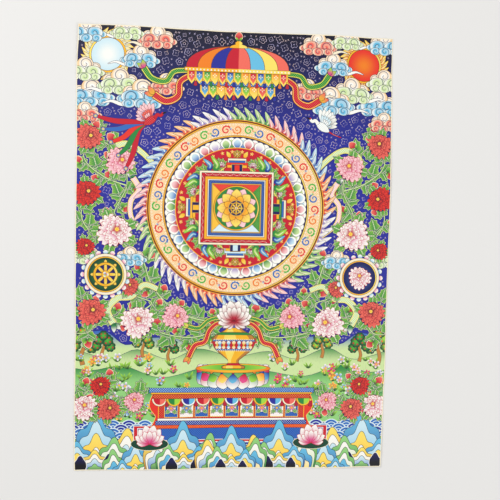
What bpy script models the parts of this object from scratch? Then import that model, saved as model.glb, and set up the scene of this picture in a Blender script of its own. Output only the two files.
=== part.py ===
"""An unmounted thangka panel: one cut length of primed cotton, lying flat with its painted side up.

Units are metres. +Z is up, +Y runs towards the head of the picture and +X towards its right side.
The origin is in the middle of the panel's footprint, on the surface that the cloth lies on.
"""

from math import hypot
from typing import NamedTuple

import bmesh
import bpy

MM = 0.001

# The cut cloth, from corner to corner.
PANEL_WIDTH = 320 * MM
PANEL_LENGTH = 450 * MM
CLOTH_THICKNESS = 1 * MM

# The weave of faces that the cloth is drawn with: about 11 mm a face.
CELLS_ACROSS = 28
CELLS_ALONG = 40

# The primed cotton's finish, where no paint is modelled.
COTTON_COLOUR = (0.62, 0.55, 0.45, 1.0)
COTTON_ROUGHNESS = 0.6
COTTON_METALLIC = 0.0


class Bow(NamedTuple):
    """How far a hand-cut edge stands outside the straight line between its corners."""

    share: float  # of the edge's length, from its lower or left-hand corner
    out: float  # away from the middle of the cloth


class Lift(NamedTuple):
    """A place on the rim where the cloth stands a little off the surface."""

    across: float  # share of the width from the middle, 1 at the right-hand edge
    along: float  # share of the length from the middle, 1 at the head
    height: float
    reach: float  # the cloth is flat again at this distance


LEFT_EDGE = (
    Bow(share=0.00, out=0.0 * MM),
    Bow(share=0.15, out=0.5 * MM),
    Bow(share=0.30, out=0.3 * MM),
    Bow(share=0.53, out=1.2 * MM),
    Bow(share=0.70, out=0.9 * MM),
    Bow(share=0.90, out=1.4 * MM),
    Bow(share=1.00, out=0.0 * MM),
)
RIGHT_EDGE = (
    Bow(share=0.00, out=0.0 * MM),
    Bow(share=0.10, out=1.0 * MM),
    Bow(share=0.27, out=2.4 * MM),
    Bow(share=0.37, out=2.0 * MM),
    Bow(share=0.63, out=2.6 * MM),
    Bow(share=0.81, out=1.7 * MM),
    Bow(share=1.00, out=0.0 * MM),
)
FOOT_EDGE = (
    Bow(share=0.00, out=0.0 * MM),
    Bow(share=0.30, out=0.6 * MM),
    Bow(share=0.47, out=-0.4 * MM),
    Bow(share=0.66, out=0.4 * MM),
    Bow(share=0.84, out=1.1 * MM),
    Bow(share=1.00, out=0.0 * MM),
)
HEAD_EDGE = (
    Bow(share=0.00, out=0.0 * MM),
    Bow(share=0.15, out=1.0 * MM),
    Bow(share=0.45, out=-0.2 * MM),
    Bow(share=0.60, out=0.1 * MM),
    Bow(share=0.80, out=1.0 * MM),
    Bow(share=1.00, out=0.0 * MM),
)

LIFTS = (
    Lift(across=-1.00, along=1.00, height=1.2 * MM, reach=70 * MM),
    Lift(across=1.00, along=0.35, height=0.8 * MM, reach=75 * MM),
    Lift(across=1.00, along=-1.00, height=1.4 * MM, reach=80 * MM),
    Lift(across=-0.35, along=-1.00, height=0.6 * MM, reach=60 * MM),
)


def bow_at(edge, share):
    """The edge's distance outside its straight line, eased from row to row of its table."""
    for start, end in zip(edge, edge[1:]):
        if share <= end.share:
            part = (share - start.share) / (end.share - start.share)
            eased = part * part * (3 - 2 * part)
            return start.out + (end.out - start.out) * eased
    return edge[-1].out


def outline_point(across, along):
    """A point of the lying cloth, from shares of 0 to 1 of its width and length.

    Each edge's bow fades out towards the opposite edge, so the grid's lines stay smooth.
    """
    out_right = across * bow_at(RIGHT_EDGE, along)
    out_left = (1 - across) * bow_at(LEFT_EDGE, along)
    out_head = along * bow_at(HEAD_EDGE, across)
    out_foot = (1 - along) * bow_at(FOOT_EDGE, across)
    x = (across - 0.5) * PANEL_WIDTH + out_right - out_left
    y = (along - 0.5) * PANEL_LENGTH + out_head - out_foot
    return x, y


def lift_at(x, y):
    """The height of the cloth's underside above the surface: nothing but near the lifted places."""
    height = 0.0
    for lift in LIFTS:
        centre_x = lift.across * PANEL_WIDTH / 2
        centre_y = lift.along * PANEL_LENGTH / 2
        near = max(0.0, 1 - hypot(x - centre_x, y - centre_y) / lift.reach)
        height += lift.height * near * near * (3 - 2 * near)
    return height


def cloth_mesh():
    """The underside of the cloth as a grid of quads, centred on its footprint."""
    grid = [
        [outline_point(i / CELLS_ACROSS, j / CELLS_ALONG) for i in range(CELLS_ACROSS + 1)]
        for j in range(CELLS_ALONG + 1)
    ]
    xs = [x for row in grid for x, _ in row]
    ys = [y for row in grid for _, y in row]
    middle_x = (min(xs) + max(xs)) / 2
    middle_y = (min(ys) + max(ys)) / 2

    form = bmesh.new()
    rows = [
        [form.verts.new((x - middle_x, y - middle_y, lift_at(x, y))) for x, y in row]
        for row in grid
    ]
    for low, high in zip(rows, rows[1:]):
        for i in range(CELLS_ACROSS):
            form.faces.new((low[i], low[i + 1], high[i + 1], high[i]))
    mesh = bpy.data.meshes.new("thangka_cloth")
    form.to_mesh(mesh)
    form.free()
    return mesh


def cotton():
    """Primed cotton: an off-white, slightly shiny cloth."""
    material = bpy.data.materials.new("primed_cotton")
    material.use_nodes = True
    shader = material.node_tree.nodes["Principled BSDF"]
    shader.inputs["Base Color"].default_value = COTTON_COLOUR
    shader.inputs["Roughness"].default_value = COTTON_ROUGHNESS
    shader.inputs["Metallic"].default_value = COTTON_METALLIC
    return material


def build_cloth():
    """The panel: the grid of its underside, thickened upwards."""
    mesh = cloth_mesh()
    mesh.materials.append(cotton())
    mesh.shade_smooth()
    cloth = bpy.data.objects.new("thangka_cloth", mesh)
    bpy.context.scene.collection.objects.link(cloth)
    thicken = cloth.modifiers.new("cloth_thickness", "SOLIDIFY")
    thicken.thickness = CLOTH_THICKNESS
    thicken.offset = 1.0
    thicken.use_rim = True
    return cloth


def main():
    """Clears the scene and builds the panel."""
    for old in list(bpy.data.objects):
        bpy.data.objects.remove(old)
    build_cloth()


main()
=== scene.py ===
"""The looks of an unmounted thangka panel: primed cotton, painted edge to edge, lying on a pale floor.

The picture is drawn in millimetres of the cloth, +X to its right and +Y to its head, with the
origin in the middle. Every patch of paint is an outline made by a formula. The patches are laid
one over another, and what shows of them becomes one mesh of flat triangles, which is the painted
face of a thin closed cloth.
"""

import logging
import random
from dataclasses import dataclass, field, replace
from enum import Enum
from math import atan2, ceil, cos, degrees, hypot, pi, radians, sin, tau
from typing import Callable, Iterable, Sequence

import bmesh
import bpy
import numpy as np
from bpy.types import Material, Mesh, Node, NodeSocket as Socket, NodeTree, Object
from mathutils import Matrix, Vector, noise
from mathutils.bvhtree import BVHTree
from mathutils.geometry import delaunay_2d_cdt


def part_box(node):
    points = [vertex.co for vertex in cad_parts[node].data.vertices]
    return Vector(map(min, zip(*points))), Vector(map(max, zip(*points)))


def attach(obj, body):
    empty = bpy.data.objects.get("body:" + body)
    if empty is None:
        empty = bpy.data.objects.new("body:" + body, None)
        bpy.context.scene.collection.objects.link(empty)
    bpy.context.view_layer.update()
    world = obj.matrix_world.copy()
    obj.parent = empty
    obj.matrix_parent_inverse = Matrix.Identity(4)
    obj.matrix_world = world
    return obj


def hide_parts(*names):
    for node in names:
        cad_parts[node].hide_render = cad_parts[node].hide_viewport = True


MM = 0.001
LOG = logging.getLogger("thangka")
Points = np.ndarray
Path = tuple[tuple[float, float], ...]

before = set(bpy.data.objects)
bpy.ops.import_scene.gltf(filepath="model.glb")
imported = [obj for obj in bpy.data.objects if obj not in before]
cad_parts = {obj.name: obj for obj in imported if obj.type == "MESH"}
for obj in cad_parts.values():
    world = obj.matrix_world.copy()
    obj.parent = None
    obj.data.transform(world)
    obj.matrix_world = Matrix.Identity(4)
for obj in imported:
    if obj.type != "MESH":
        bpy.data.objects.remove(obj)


# ---- Pigments and the patterns that a patch of paint can carry ----


class Pigment(Enum):
    """The painter's colours, as display values from 0 to 255."""

    INK = (16, 15, 24)
    MIDNIGHT = (15, 15, 32)
    INDIGO = (24, 26, 86)
    LAPIS = (38, 44, 150)
    AZURE = (48, 104, 184)
    SKY = (104, 188, 222)
    ICE = (204, 230, 238)
    BOTTLE = (16, 66, 46)
    MALACHITE = (38, 134, 62)
    LEAF = (84, 176, 58)
    LIME = (160, 216, 70)
    MEADOW = (146, 206, 124)
    CELADON = (204, 226, 160)
    MAROON = (112, 16, 26)
    CRIMSON = (196, 24, 46)
    VERMILION = (228, 52, 40)
    CORAL = (238, 108, 92)
    ROSE = (230, 82, 146)
    BLUSH = (248, 206, 208)
    LILAC = (158, 128, 190)
    ORANGE = (238, 128, 30)
    SAFFRON = (248, 184, 46)
    LEMON = (250, 222, 104)
    PEACH = (246, 204, 148)
    CREAM = (246, 234, 204)
    CHALK = (248, 246, 238)
    UMBER = (98, 56, 30)
    OCHRE = (190, 128, 60)
    GOLD = (226, 180, 74)
    SLATE = (92, 104, 112)
    MOON = (172, 166, 208)

    def linear(self) -> tuple[float, float, float]:
        """The colour in linear light, as the attributes and shaders need it."""
        return tuple((c / 255 / 12.92) if c < 11 else ((c / 255 + 0.055) / 1.055) ** 2.4
            for c in self.value)


class Grain(Enum):
    """What the brush does inside a patch, in the patch's own coordinates u and v."""

    PLAIN = 0
    FADE = 1  # from the near pigment at u = 0 to the far one at u = 1
    GLOW = 2  # from the near pigment in the middle to the far one at distance 1
    PETAL = 3  # a fade with fine lines that spread from the base
    VEINED = 4  # a midrib, side veins and one lighter half
    CLOUD = 5  # a glow with a spiral line
    WAVE = 6  # rings of light lines
    BROCADE = 7  # a lattice of small diamonds
    TURF = 8  # a fade with short upright strokes


(INK, MIDNIGHT, INDIGO, LAPIS, AZURE, SKY, ICE, BOTTLE, MALACHITE, LEAF, LIME, MEADOW, CELADON, MAROON,
    CRIMSON, VERMILION, CORAL, ROSE, BLUSH, LILAC, ORANGE, SAFFRON, LEMON, PEACH, CREAM, CHALK, UMBER,
    OCHRE, GOLD, SLATE, MOON) = Pigment
PLAIN, FADE, GLOW, PETAL, VEINED, CLOUD, WAVE, BROCADE, TURF = Grain


# ---- Outlines ----


def polar(out: float | Points, turn: Points) -> Points:
    """The points at some distances and directions from the origin."""
    return np.stack([out * np.cos(turn), out * np.sin(turn)], 1)


def disc(sides: int) -> Points:
    """A circle of radius 1."""
    return polar(1.0, np.arange(sides) * tau / sides)


def oblong(width: float, height: float) -> Points:
    """A rectangle round the origin."""
    return np.array([(-width, -height), (width, -height), (width, height), (-width, height)]) / 2


def petal(broad: float, belly: float = 0.55, full: float = 0.9, steps: int = 6) -> Points:
    """A pointed petal from (0, 0) to (1, 0).

    Args:
        broad: its half width.
        belly: where along it the widest place is.
        full: under 1 for fuller sides.
        steps: points on each side.

    Returns:
        The outline.
    """
    along = (1 - np.cos(np.linspace(0, pi, steps + 2))) / 2
    across = broad * np.sin(pi * along ** (np.log(0.5) / np.log(belly))) ** full
    right = np.stack([along, -across], 1)
    left = np.stack([along, across], 1)[::-1]
    return np.concatenate([right, left[1:-1]])


def fan(spread: float) -> Points:
    """A petal with a scalloped outer edge: a slice of a disc, given by half its angle in degrees."""
    lobes, depth = 3, 0.2
    share = np.linspace(0, 1, 3 * lobes + 1)
    side = 2 * share - 1
    turn = radians(spread) * side * (1 - 0.12 * np.cos(pi * side))
    out = 1 - depth + depth * np.abs(np.sin(pi * lobes * share)) - 0.1 * side**2
    return np.concatenate([[(0.0, 0.0)], polar(out, turn)])


def scallop(lobes: int, depth: float, steps: int) -> Points:
    """A round shape of radius 1 with a lobed edge."""
    turn = np.arange(lobes * steps) * tau / (lobes * steps)
    return polar(1 - depth + depth * np.abs(np.sin(turn * lobes / 2)), turn)


def smooth(points: Iterable[Sequence[float]], steps: int = 6) -> Points:
    """A smooth curve through a few points, with each stretch cut into some steps."""
    knots = np.asarray(list(points), float)
    spans = len(knots) - 1
    at = np.arange(spans * steps + 1) / steps
    low = np.minimum(at.astype(int), spans - 1)
    t = (at - low)[:, None]
    before, start, end, after = (knots[np.clip(low + shift, 0, spans)] for shift in (-1, 0, 1, 2))
    return start + 0.5 * t * (end - before + t * (2 * before - 5 * start + 4 * end - after + t
        * (3 * (start - end) + after - before)))


def normals(path: Points, closed: bool = False) -> Points:
    """The unit normals along a path, to the left of its direction."""
    if closed:
        way = np.roll(path, -1, 0) - np.roll(path, 1, 0)
    else:
        way = np.gradient(path, axis=0)
    way /= np.maximum(np.hypot(*way.T), 1e-9)[:, None]
    return np.stack([-way[:, 1], way[:, 0]], 1)


def ribbon(path: Points, start: float, end: float, belly: float = 0.0) -> Points:
    """A band along a path.

    Args:
        path: its middle line.
        start: half its width where it starts.
        end: half its width at its end.
        belly: added to the half width in the middle.

    Returns:
        The outline.
    """
    share = np.linspace(0, 1, len(path))
    half = start + (end - start) * share + belly * np.sin(pi * share)
    side = normals(path) * half[:, None]
    return np.concatenate([path - side, (path + side)[::-1]])


def curl(turns: float, steps: int) -> Points:
    """A spiral path from its rim on the right in to the origin, with some steps a turn."""
    share = np.linspace(0, 1, int(steps * turns))
    return polar((1 - share) ** 0.8 + 0.05, tau * turns * share)


def profile(rows: Iterable[Sequence[float]], low: float = -1e9, high: float = 1e9,
        steps: int = 4) -> Points:
    """The outline of a turned body, or of a slice of it.

    Args:
        rows: (height, radius) from the foot to the mouth.
        low: where the slice starts.
        high: where the slice ends.
        steps: points between two rows.

    Returns:
        The outline, with x across and y up.
    """
    line = smooth(rows, steps)
    height, radius = line.T
    low, high = max(low, height[0]), min(high, height[-1])
    inner = (height > low) & (height < high)
    heights = np.concatenate([[low], height[inner], [high]])
    radii = np.interp(heights, height, radius)
    return np.concatenate([np.stack([radii, heights], 1), np.stack([-radii, heights], 1)[::-1]])


def distances(line: Points) -> Points:
    """How far along a line each of its points is."""
    return np.concatenate([[0], np.cumsum(np.hypot(*np.diff(line, axis=0).T))])


def lattice(line: Points, pitch: float) -> Points:
    """Points at an even pitch inside a rectangle's line."""
    ends = zip(line.min(0), line.max(0))
    xs, ys = (np.arange(low + pitch, high - pitch / 2, pitch) for low, high in ends)
    return np.stack(np.meshgrid(xs, ys), -1).reshape(-1, 2)


def widened(outline: Points, out: float) -> Points:
    """A closed anticlockwise outline with its edge moved outwards."""
    ahead = np.roll(outline, -1, 0) - outline
    ahead /= np.maximum(np.hypot(*ahead.T), 1e-9)[:, None]
    side = np.stack([ahead[:, 1], -ahead[:, 0]], 1)
    middle = side + np.roll(side, 1, 0)
    length = np.maximum(np.hypot(*middle.T), 0.9)[:, None]
    return outline + middle / length * (2 * out / length)


def set_right(outline: Points) -> Points:
    """The outline run anticlockwise from its rightmost point."""
    x, y = outline.T
    if (x * np.roll(y, -1) - np.roll(x, -1) * y).sum() < 0:
        outline = outline[::-1]
    return np.roll(outline, -int(np.argmax(outline[:, 0])), axis=0)


def clipped(outline: Points, half: tuple[float, float]) -> Points:
    """The part of an outline inside a rectangle round the origin, given by half its sides."""
    for axis, sign in ((0, 1), (0, -1), (1, 1), (1, -1)):
        if len(outline) and (sign * outline[:, axis]).max() > half[axis]:
            over = sign * outline[:, axis] - half[axis]
            kept = []
            for one, two, a, b in zip(outline, np.roll(outline, -1, 0), over, np.roll(over, -1)):
                if a <= 0:
                    kept.append(one)
                if (a > 0) != (b > 0):
                    crossing = one + (two - one) * (a / (a - b))
                    crossing[axis] = sign * half[axis]
                    kept.append(crossing)
            outline = np.array(kept)
    return outline


def encloses(outline: Points, places: Points) -> np.ndarray:
    """Whether an outline runs round each place, by how often it winds about it."""
    turns = np.zeros(len(places), int)
    x, y = places.T
    for (x0, y0), (x1, y1) in zip(outline, np.roll(outline, -1, 0)):
        left = (x1 - x0) * (y - y0) - (x - x0) * (y1 - y0)
        turns += ((y0 <= y) & (y1 > y) & (left > 0)).astype(int) - ((y0 > y) & (y1 <= y) & (left < 0))
    return turns != 0


def loop_of(steps: set[tuple]) -> list:
    """The corners along the steps that aren't also taken the other way, which make one loop."""
    after = {a: b for a, b in steps if (b, a) not in steps}
    line = [min(after)]
    while after[line[-1]] != line[0]:
        line.append(after[line[-1]])
    return line


def cut_up(points: Points, edges: list[tuple[int, int]], close: float) -> tuple[Points, np.ndarray]:
    """Triangles between some points, cut along some edges, out to the hull."""
    corners, _, faces, *_ = delaunay_2d_cdt([Vector(p) for p in points.tolist()], edges, [], 0, close,
        False)
    triangles = [(face[0], b, c) for face in faces for b, c in zip(face[1:], face[2:])]
    return np.array([c[:] for c in corners]), np.array(triangles)


# ---- The picture: patches of paint, one over another ----


@dataclass(frozen=True)
class Patch:
    """One outline filled with paint."""

    outline: Points
    place: "Place"
    near: Pigment
    far: Pigment
    grain: Grain = PLAIN
    gilt: float = 0.0


@dataclass
class Picture:
    """What has been painted so far, from the ground up."""

    patches: list[Patch] = field(default_factory=list)
    pearls: list[tuple[float, float, float, int]] = field(default_factory=list)


@dataclass(frozen=True)
class Place:
    """Where a motif stands on a picture: its own units, turned, sized and moved."""

    x: float = 0.0
    y: float = 0.0
    turn: float = 0.0  # degrees, anticlockwise
    size: float = 1.0  # millimetres for one unit of the motif
    mirrored: bool = False
    picture: Picture | None = None

    def matrix(self) -> np.ndarray:
        """The 2 by 2 matrix from the motif's units to millimetres."""
        c, s = cos(radians(self.turn)), sin(radians(self.turn))
        flip = -1.0 if self.mirrored else 1.0
        return self.size * np.array([[c, -s * flip], [s, c * flip]])

    def put(self, points: Points) -> Points:
        """The points of a motif, on the cloth."""
        return np.asarray(points, float) @ self.matrix().T + (self.x, self.y)

    def inside(self, x: float, y: float, turn: float = 0.0, size: float = 1.0) -> "Place":
        """A place given in this one's own units."""
        at = self.put([(x, y)])[0]
        turned = -turn if self.mirrored else turn
        return replace(self, x=at[0], y=at[1], turn=self.turn + turned, size=self.size * size)

    def sized(self, size: float) -> "Place":
        """The same place with its unit made larger or smaller."""
        return replace(self, size=self.size * size)

    def both(self) -> tuple["Place", "Place"]:
        """This place's mirror image, and itself."""
        return replace(self, turn=self.turn + 180, mirrored=True), self

    def twice(self, motifs: Iterable["Streamer"]) -> None:
        """Paints some motifs on the left half, mirrored, and on the right half."""
        for half in self.both():
            for motif in motifs:
                motif.paint(half)

    def wreath(self, count: int, radius: float, size: float = 1.0, start: float = 0.0) -> list["Place"]:
        """Places round a circle, each turned outwards."""
        turns = [start + 360 * k / count for k in range(count)]
        return [self.inside(radius * cos(radians(t)), radius * sin(radians(t)), t, size) for t in turns]

    def lay(
        self,
        outline: Points,
        near: Pigment,
        far: Pigment | None = None,
        grain: Grain = PLAIN,
        line: Pigment | None = None,
        width: float = 0.45,
        gilt: float = 0.0,
        scale: tuple[float, float] = (1.0, 1.0),
    ) -> None:
        """Paints one shape.

        Args:
            outline: the shape in its own units.
            near: its pigment, or the one where its grain begins.
            far: the pigment where its grain ends.
            grain: the pattern inside it.
            line: the pigment of a line drawn round it.
            width: that line's width in millimetres.
            gilt: 1 for metal leaf or gold paint.
            scale: stretches the outline across u and v.
        """
        outline = np.asarray(outline, float) * scale
        if line:
            self.edge(outline, line, width)
        self.picture.patches.append(Patch(set_right(self.put(outline)), self, near, far or near, grain,
            gilt))

    def edge(self, outline: Points, pigment: Pigment, width: float) -> None:
        """Paints only a shape's edge, wider than the shape, under what is laid on it next."""
        wide = widened(set_right(self.put(outline)), width)
        self.picture.patches.append(Patch(wide, self, pigment, pigment))

    def gold(self, outline: Points, line: Pigment | None = UMBER, width: float = 0.35) -> None:
        """Paints one shape in gold with a thin dark line."""
        self.lay(outline, SAFFRON, LEMON, FADE, line, width, gilt=0.6)

    def pearl_row(self, path: Points, pitch: float, radius: float) -> None:
        """Sets raised dots along a path at an even pitch in millimetres."""
        line = self.put(path)
        run = distances(line)
        for at in np.linspace(0, run[-1], max(2, round(run[-1] / pitch) + 1)):
            x, y = (np.interp(at, run, values) for values in line.T)
            self.picture.pearls.append((x, y, radius, len(self.picture.patches)))


@dataclass
class Arrangement:
    """What shows of the patches: flat triangles that share their corners, each in one patch."""

    patches: list[Patch]
    border: Points
    painted: Points
    pitch: float  # of the extra corners, with which the cloth follows its own unevenness
    corners: Points = field(init=False)
    triangles: np.ndarray = field(init=False)
    top: np.ndarray = field(init=False)
    tree: BVHTree = field(init=False)

    CLOSE = 1e-2  # corners nearer than this, in millimetres, become one
    SLACK = 0.05  # how far a line may move when one of its corners is taken out
    FIRST = 3  # the first patch's number in top, after none, the border and the painted part

    def __post_init__(self) -> None:
        """Cuts every outline with the others, then again with only the lines that show."""
        self._settle(*self._cut_all())
        self._settle(*self._cut_again())

    def _settle(self, corners: Points, triangles: np.ndarray, top: np.ndarray) -> None:
        """Keeps one arrangement and the tree that finds its triangles."""
        self.corners, self.triangles, self.top = corners, triangles, top
        flat = [(x, y, 0.0) for x, y in corners.tolist()]
        self.tree = BVHTree.FromPolygons(flat, triangles.tolist(), all_triangles=True)

    def _cut_all(self) -> tuple[Points, np.ndarray, np.ndarray]:
        """Cuts all outlines at once. The last patch over a painted triangle shows on it."""
        outlines = [self.border, self.painted] + [p.outline for p in self.patches]
        starts = np.concatenate([[0], np.cumsum([len(o) for o in outlines])])
        edges = [(k, k + 1 if k + 1 < b else a) for a, b in zip(starts.tolist(), starts[1:].tolist())
            for k in range(a, b)]
        corners, triangles = cut_up(np.concatenate(outlines + [lattice(self.border, self.pitch)]), edges,
            self.CLOSE)
        middles = corners[triangles].mean(1)
        top = self._last_round(outlines, middles)
        return corners, triangles, np.where(encloses(self.painted, middles), top, 1)

    def _last_round(self, outlines: list[Points], places: Points) -> np.ndarray:
        """For each place, one more than the number of the last outline round it."""
        top = np.zeros(len(places), int)
        order = np.argsort(places[:, 1])
        ranked = places[order]
        for number in range(len(outlines), 0, -1):
            outline = outlines[number - 1]
            low, high = outline.min(0), outline.max(0)
            rows = slice(*np.searchsorted(ranked[:, 1], (low[1], high[1])))
            across = ranked[rows, 0]
            near = order[rows][(across > low[0]) & (across < high[0]) & (top[order[rows]] == 0)]
            for part in np.array_split(near, 1 + len(near) // 20000):
                top[part[encloses(outline, places[part])]] = number
        return top

    def _shown_edges(self) -> list[tuple[int, int]]:
        """The edges between two patches, or on the border, with needless corners taken out."""
        pairs = np.sort(np.concatenate([self.triangles[:, (a, b)] for a, b in ((0, 1), (1, 2), (2, 0))]), 1)
        owners = np.tile(self.top, 3)
        order = np.lexsort((pairs[:, 1], pairs[:, 0]))
        pairs, owners = pairs[order], owners[order]
        twin = (pairs[1:] == pairs[:-1]).all(1)
        first = np.concatenate([[True], ~twin])
        same = np.concatenate([twin & (owners[1:] == owners[:-1]), [False]])
        rim = set(pairs[first & ~np.concatenate([twin, [False]])].ravel().tolist())
        linked: dict[int, set[int]] = {}
        for a, b in pairs[first & ~same].tolist():
            linked.setdefault(a, set()).add(b)
            linked.setdefault(b, set()).add(a)
        held = set(rim)
        for corner, beside in list(linked.items()):
            if len(beside) == 2 and corner not in held:
                a, b = beside
                one, two = self.corners[a] - self.corners[corner], self.corners[b] - self.corners[corner]
                off = abs(one[0] * two[1] - one[1] * two[0]) / max(hypot(*(two - one)), 1e-6)
                if off < self.SLACK and one @ two < 0 and b not in linked[a]:
                    held |= {a, b} if off > self.CLOSE else set()
                    linked[a].remove(corner)
                    linked[b].remove(corner)
                    linked[a].add(b)
                    linked[b].add(a)
                    del linked[corner]
        return [(a, b) for a, beside in linked.items() for b in beside if a < b]

    def _cut_again(self) -> tuple[Points, np.ndarray, np.ndarray]:
        """Cuts the cloth along the lines that show, and finds each triangle's patch again."""
        edges = np.array(self._shown_edges())
        used, renamed = np.unique(edges, return_inverse=True)
        points = np.concatenate([self.corners[used], lattice(self.border, self.pitch)])
        corners, triangles = cut_up(points, renamed.reshape(-1, 2).tolist(), self.CLOSE)
        top = np.array([self.patch_at(x, y) for x, y in corners[triangles].mean(1)]) + self.FIRST
        return corners, triangles, top

    def patch_at(self, x: float, y: float) -> int:
        """The number of the patch that shows at a point, or less than 0 for bare cloth."""
        index = self.tree.ray_cast(Vector((x, y, 1.0)), Vector((0, 0, -1)))[2]
        if index is None:
            index = self.tree.find_nearest(Vector((x, y, 0.0)))[2]
        return int(self.top[index]) - self.FIRST


# ---- Motifs, each drawn in its own units ----


@dataclass(frozen=True)
class Leaf:
    """A lobed leaf from its stalk at the origin to its tip at (1, 0)."""

    line: Pigment = CREAM

    EDGE = ((0.0, 0.0), (-0.02, 0.18), (0.16, 0.46), (0.38, 0.36), (0.46, 0.3), (0.7, 0.34), (0.74, 0.16))

    def paint(self, place: Place) -> None:
        """Lays the leaf."""
        edge = np.array(self.EDGE)
        outline = np.concatenate([edge, [(1.0, 0.0)], (edge * (1, -1))[:0:-1]])
        place.edge(outline, INDIGO, 0.65)
        place.lay(outline, MALACHITE, LIME, VEINED, self.line, 0.25)


class Bud:
    """A closed flower from its stalk at the origin to its tip at (1, 0)."""

    def paint(self, place: Place) -> None:
        """Lays the petals and the cup that holds them."""
        place.lay(petal(0.45, 0.45, 0.7, 5), CRIMSON, CORAL, PETAL, CREAM, 0.4)
        for turn in (-38, 38):
            place.inside(-0.12, 0, turn, 0.62).lay(petal(0.22, 0.5), BOTTLE, LIME, FADE)


@dataclass(frozen=True)
class Rosette:
    """A small open flower of radius 1, seen from the front."""

    near: Pigment
    far: Pigment
    heart: Pigment = SAFFRON
    petals: int = 5
    line: Pigment | None = None

    def paint(self, place: Place) -> None:
        """Lays the petals round the heart."""
        for spot in place.wreath(self.petals, 0.12, 0.88):
            spot.lay(petal(0.34, 0.62, 0.7, 3), self.near, self.far, FADE, self.line, 0.3)
        place.sized(0.26).lay(disc(8), self.heart)


@dataclass(frozen=True)
class Peony:
    """A full flower of radius 1 with scalloped petals in rings."""

    near: Pigment
    far: Pigment
    line: Pigment

    RINGS = ((1.0, 8, 0.0, 31, 0.0), (0.82, 7, 26.0, 34, 0.06), (0.62, 6, 8.0, 38, 0.12),
        (0.42, 5, 40.0, 44, 0.18))

    def paint(self, place: Place) -> None:
        """Lays the rings from the outermost one inwards, each a little higher, then the stamens."""
        place.edge(scallop(8, 0.1, 3) * 0.92, INDIGO, 0.5)
        for reach, petals, twist, spread, rise in self.RINGS:
            for k in range(petals):
                turn = twist + 360 * k / petals
                near = self.near if reach > 0.5 else self.line
                long = reach * (1.0 + 0.1 * sin(2.1 * k + petals))
                place.inside(0, rise, turn, long).lay(fan(spread), near, self.far, PETAL, self.line, 0.3)
        place.inside(0, 0.2, 0, 0.15).lay(scallop(7, 0.3, 2), SAFFRON, LEMON, GLOW)


@dataclass(frozen=True)
class Lotus:
    """A lotus seen from the side, its stalk at the origin and its middle petal along u."""

    near: Pigment
    far: Pigment
    line: Pigment

    PETALS = ((-86, 0.72), (86, 0.72), (-62, 0.92), (62, 0.92), (-36, 1.04), (36, 1.04), (-13, 1.1),
        (13, 1.1), (-50, 0.7), (50, 0.7), (-24, 0.78), (24, 0.78), (0, 0.74))

    def paint(self, place: Place) -> None:
        """Lays the petals from the back to the front."""
        for turn, reach in self.PETALS:
            place.inside(0, 0, turn, reach).lay(petal(0.24, 0.6, 0.85), self.near, self.far, PETAL,
                self.line, 0.35)


class LotusSeat:
    """A double row of lotus petals under a flat top, 2 units wide, its top at the origin."""

    COLOURS = ((LAPIS, SKY), (CRIMSON, ROSE), (MALACHITE, LIME), (ORANGE, LEMON))
    MIDDLE = 4  # the number of the middle petal, counted from 0

    def paint(self, place: Place) -> None:
        """Lays the lower row, the upper row and the seat's rim of stamens."""
        for row, (drop, reach, way) in enumerate(((-0.1, 0.42, -1), (-0.12, 0.26, 1))):
            for k in sorted(range(2 * self.MIDDLE + 1), key=lambda k: -abs(k - self.MIDDLE)):
                lean = (k - self.MIDDLE) / self.MIDDLE
                near, far = self.COLOURS[(k + row) % 4]
                spot = place.inside(sin(lean * 1.25) * 0.98, drop - 0.06 * cos(lean * 1.5),
                    way * (90 + 42 * lean))
                for size, outer, line in ((1.0, CHALK, INK), (0.62, far, None)):
                    spot.sized(reach * size).lay(petal(0.42, 0.6, 0.75), near, outer, FADE, line, 0.35)
        place.inside(0, -0.02).lay(disc(28), SAFFRON, ORANGE, GLOW, INK, 0.35, scale=(0.96, 0.12))
        place.lay(disc(28), LEAF, LIME, GLOW, scale=(0.86, 0.075))


@dataclass(frozen=True)
class Cloud:
    """A flat bank of cloud with pale heads and curling lobes, about 2.3 units wide."""

    near: Pigment
    far: Pigment

    HEADS = ((-0.66, 0.32, 0.36), (0.62, 0.3, 0.36), (-0.02, 0.54, 0.52))
    LOBES = ((-1.02, -0.06, 0.3), (1.02, -0.08, 0.3), (-0.5, 0.04, 0.58), (0.5, 0.02, 0.57),
        (-0.66, -0.3, 0.36), (0.68, -0.31, 0.35), (0.0, -0.3, 0.42))

    def paint(self, place: Place) -> None:
        """Lays the tail, the pale heads behind, then the coloured lobes, each with a pale rim."""
        path = smooth(((0.3, -0.2), (1.0, -0.36), (1.6, -0.22), (2.1, -0.36)))
        place.lay(ribbon(path, 0.16, 0.01), self.near, self.far, FADE, INDIGO, 0.35)
        for x, y, radius in self.HEADS:
            head = place.inside(x, y, 90, radius)
            head.lay(disc(14), CHALK, PEACH, CLOUD, INK, 0.35, scale=(0.86, 1.0))
        for x, y, radius in self.LOBES:
            lobe = replace(place.inside(x, y, 0, radius), mirrored=place.mirrored == (x < 0))
            lobe.lay(disc(16), self.near, self.far, CLOUD, INK, 0.35, scale=(1.0, 0.64))


@dataclass(frozen=True)
class Flame:
    """A tongue of fire from the origin along u, bent to one side at its tip."""

    near: Pigment
    far: Pigment
    line: Pigment

    BEND = 0.22

    def paint(self, place: Place) -> None:
        """Lays the tongue and its hotter middle."""
        path = smooth(((0, 0), (0.35, -self.BEND), (0.7, 0.1 * self.BEND), (1.0, 1.3 * self.BEND)), 4)
        place.lay(ribbon(path, 0.17, 0.01, 0.09), self.near, self.far, FADE, self.line, 0.3)
        place.lay(ribbon(path[2:-3], 0.05, 0.01, 0.03), self.far, CREAM, FADE)


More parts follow.
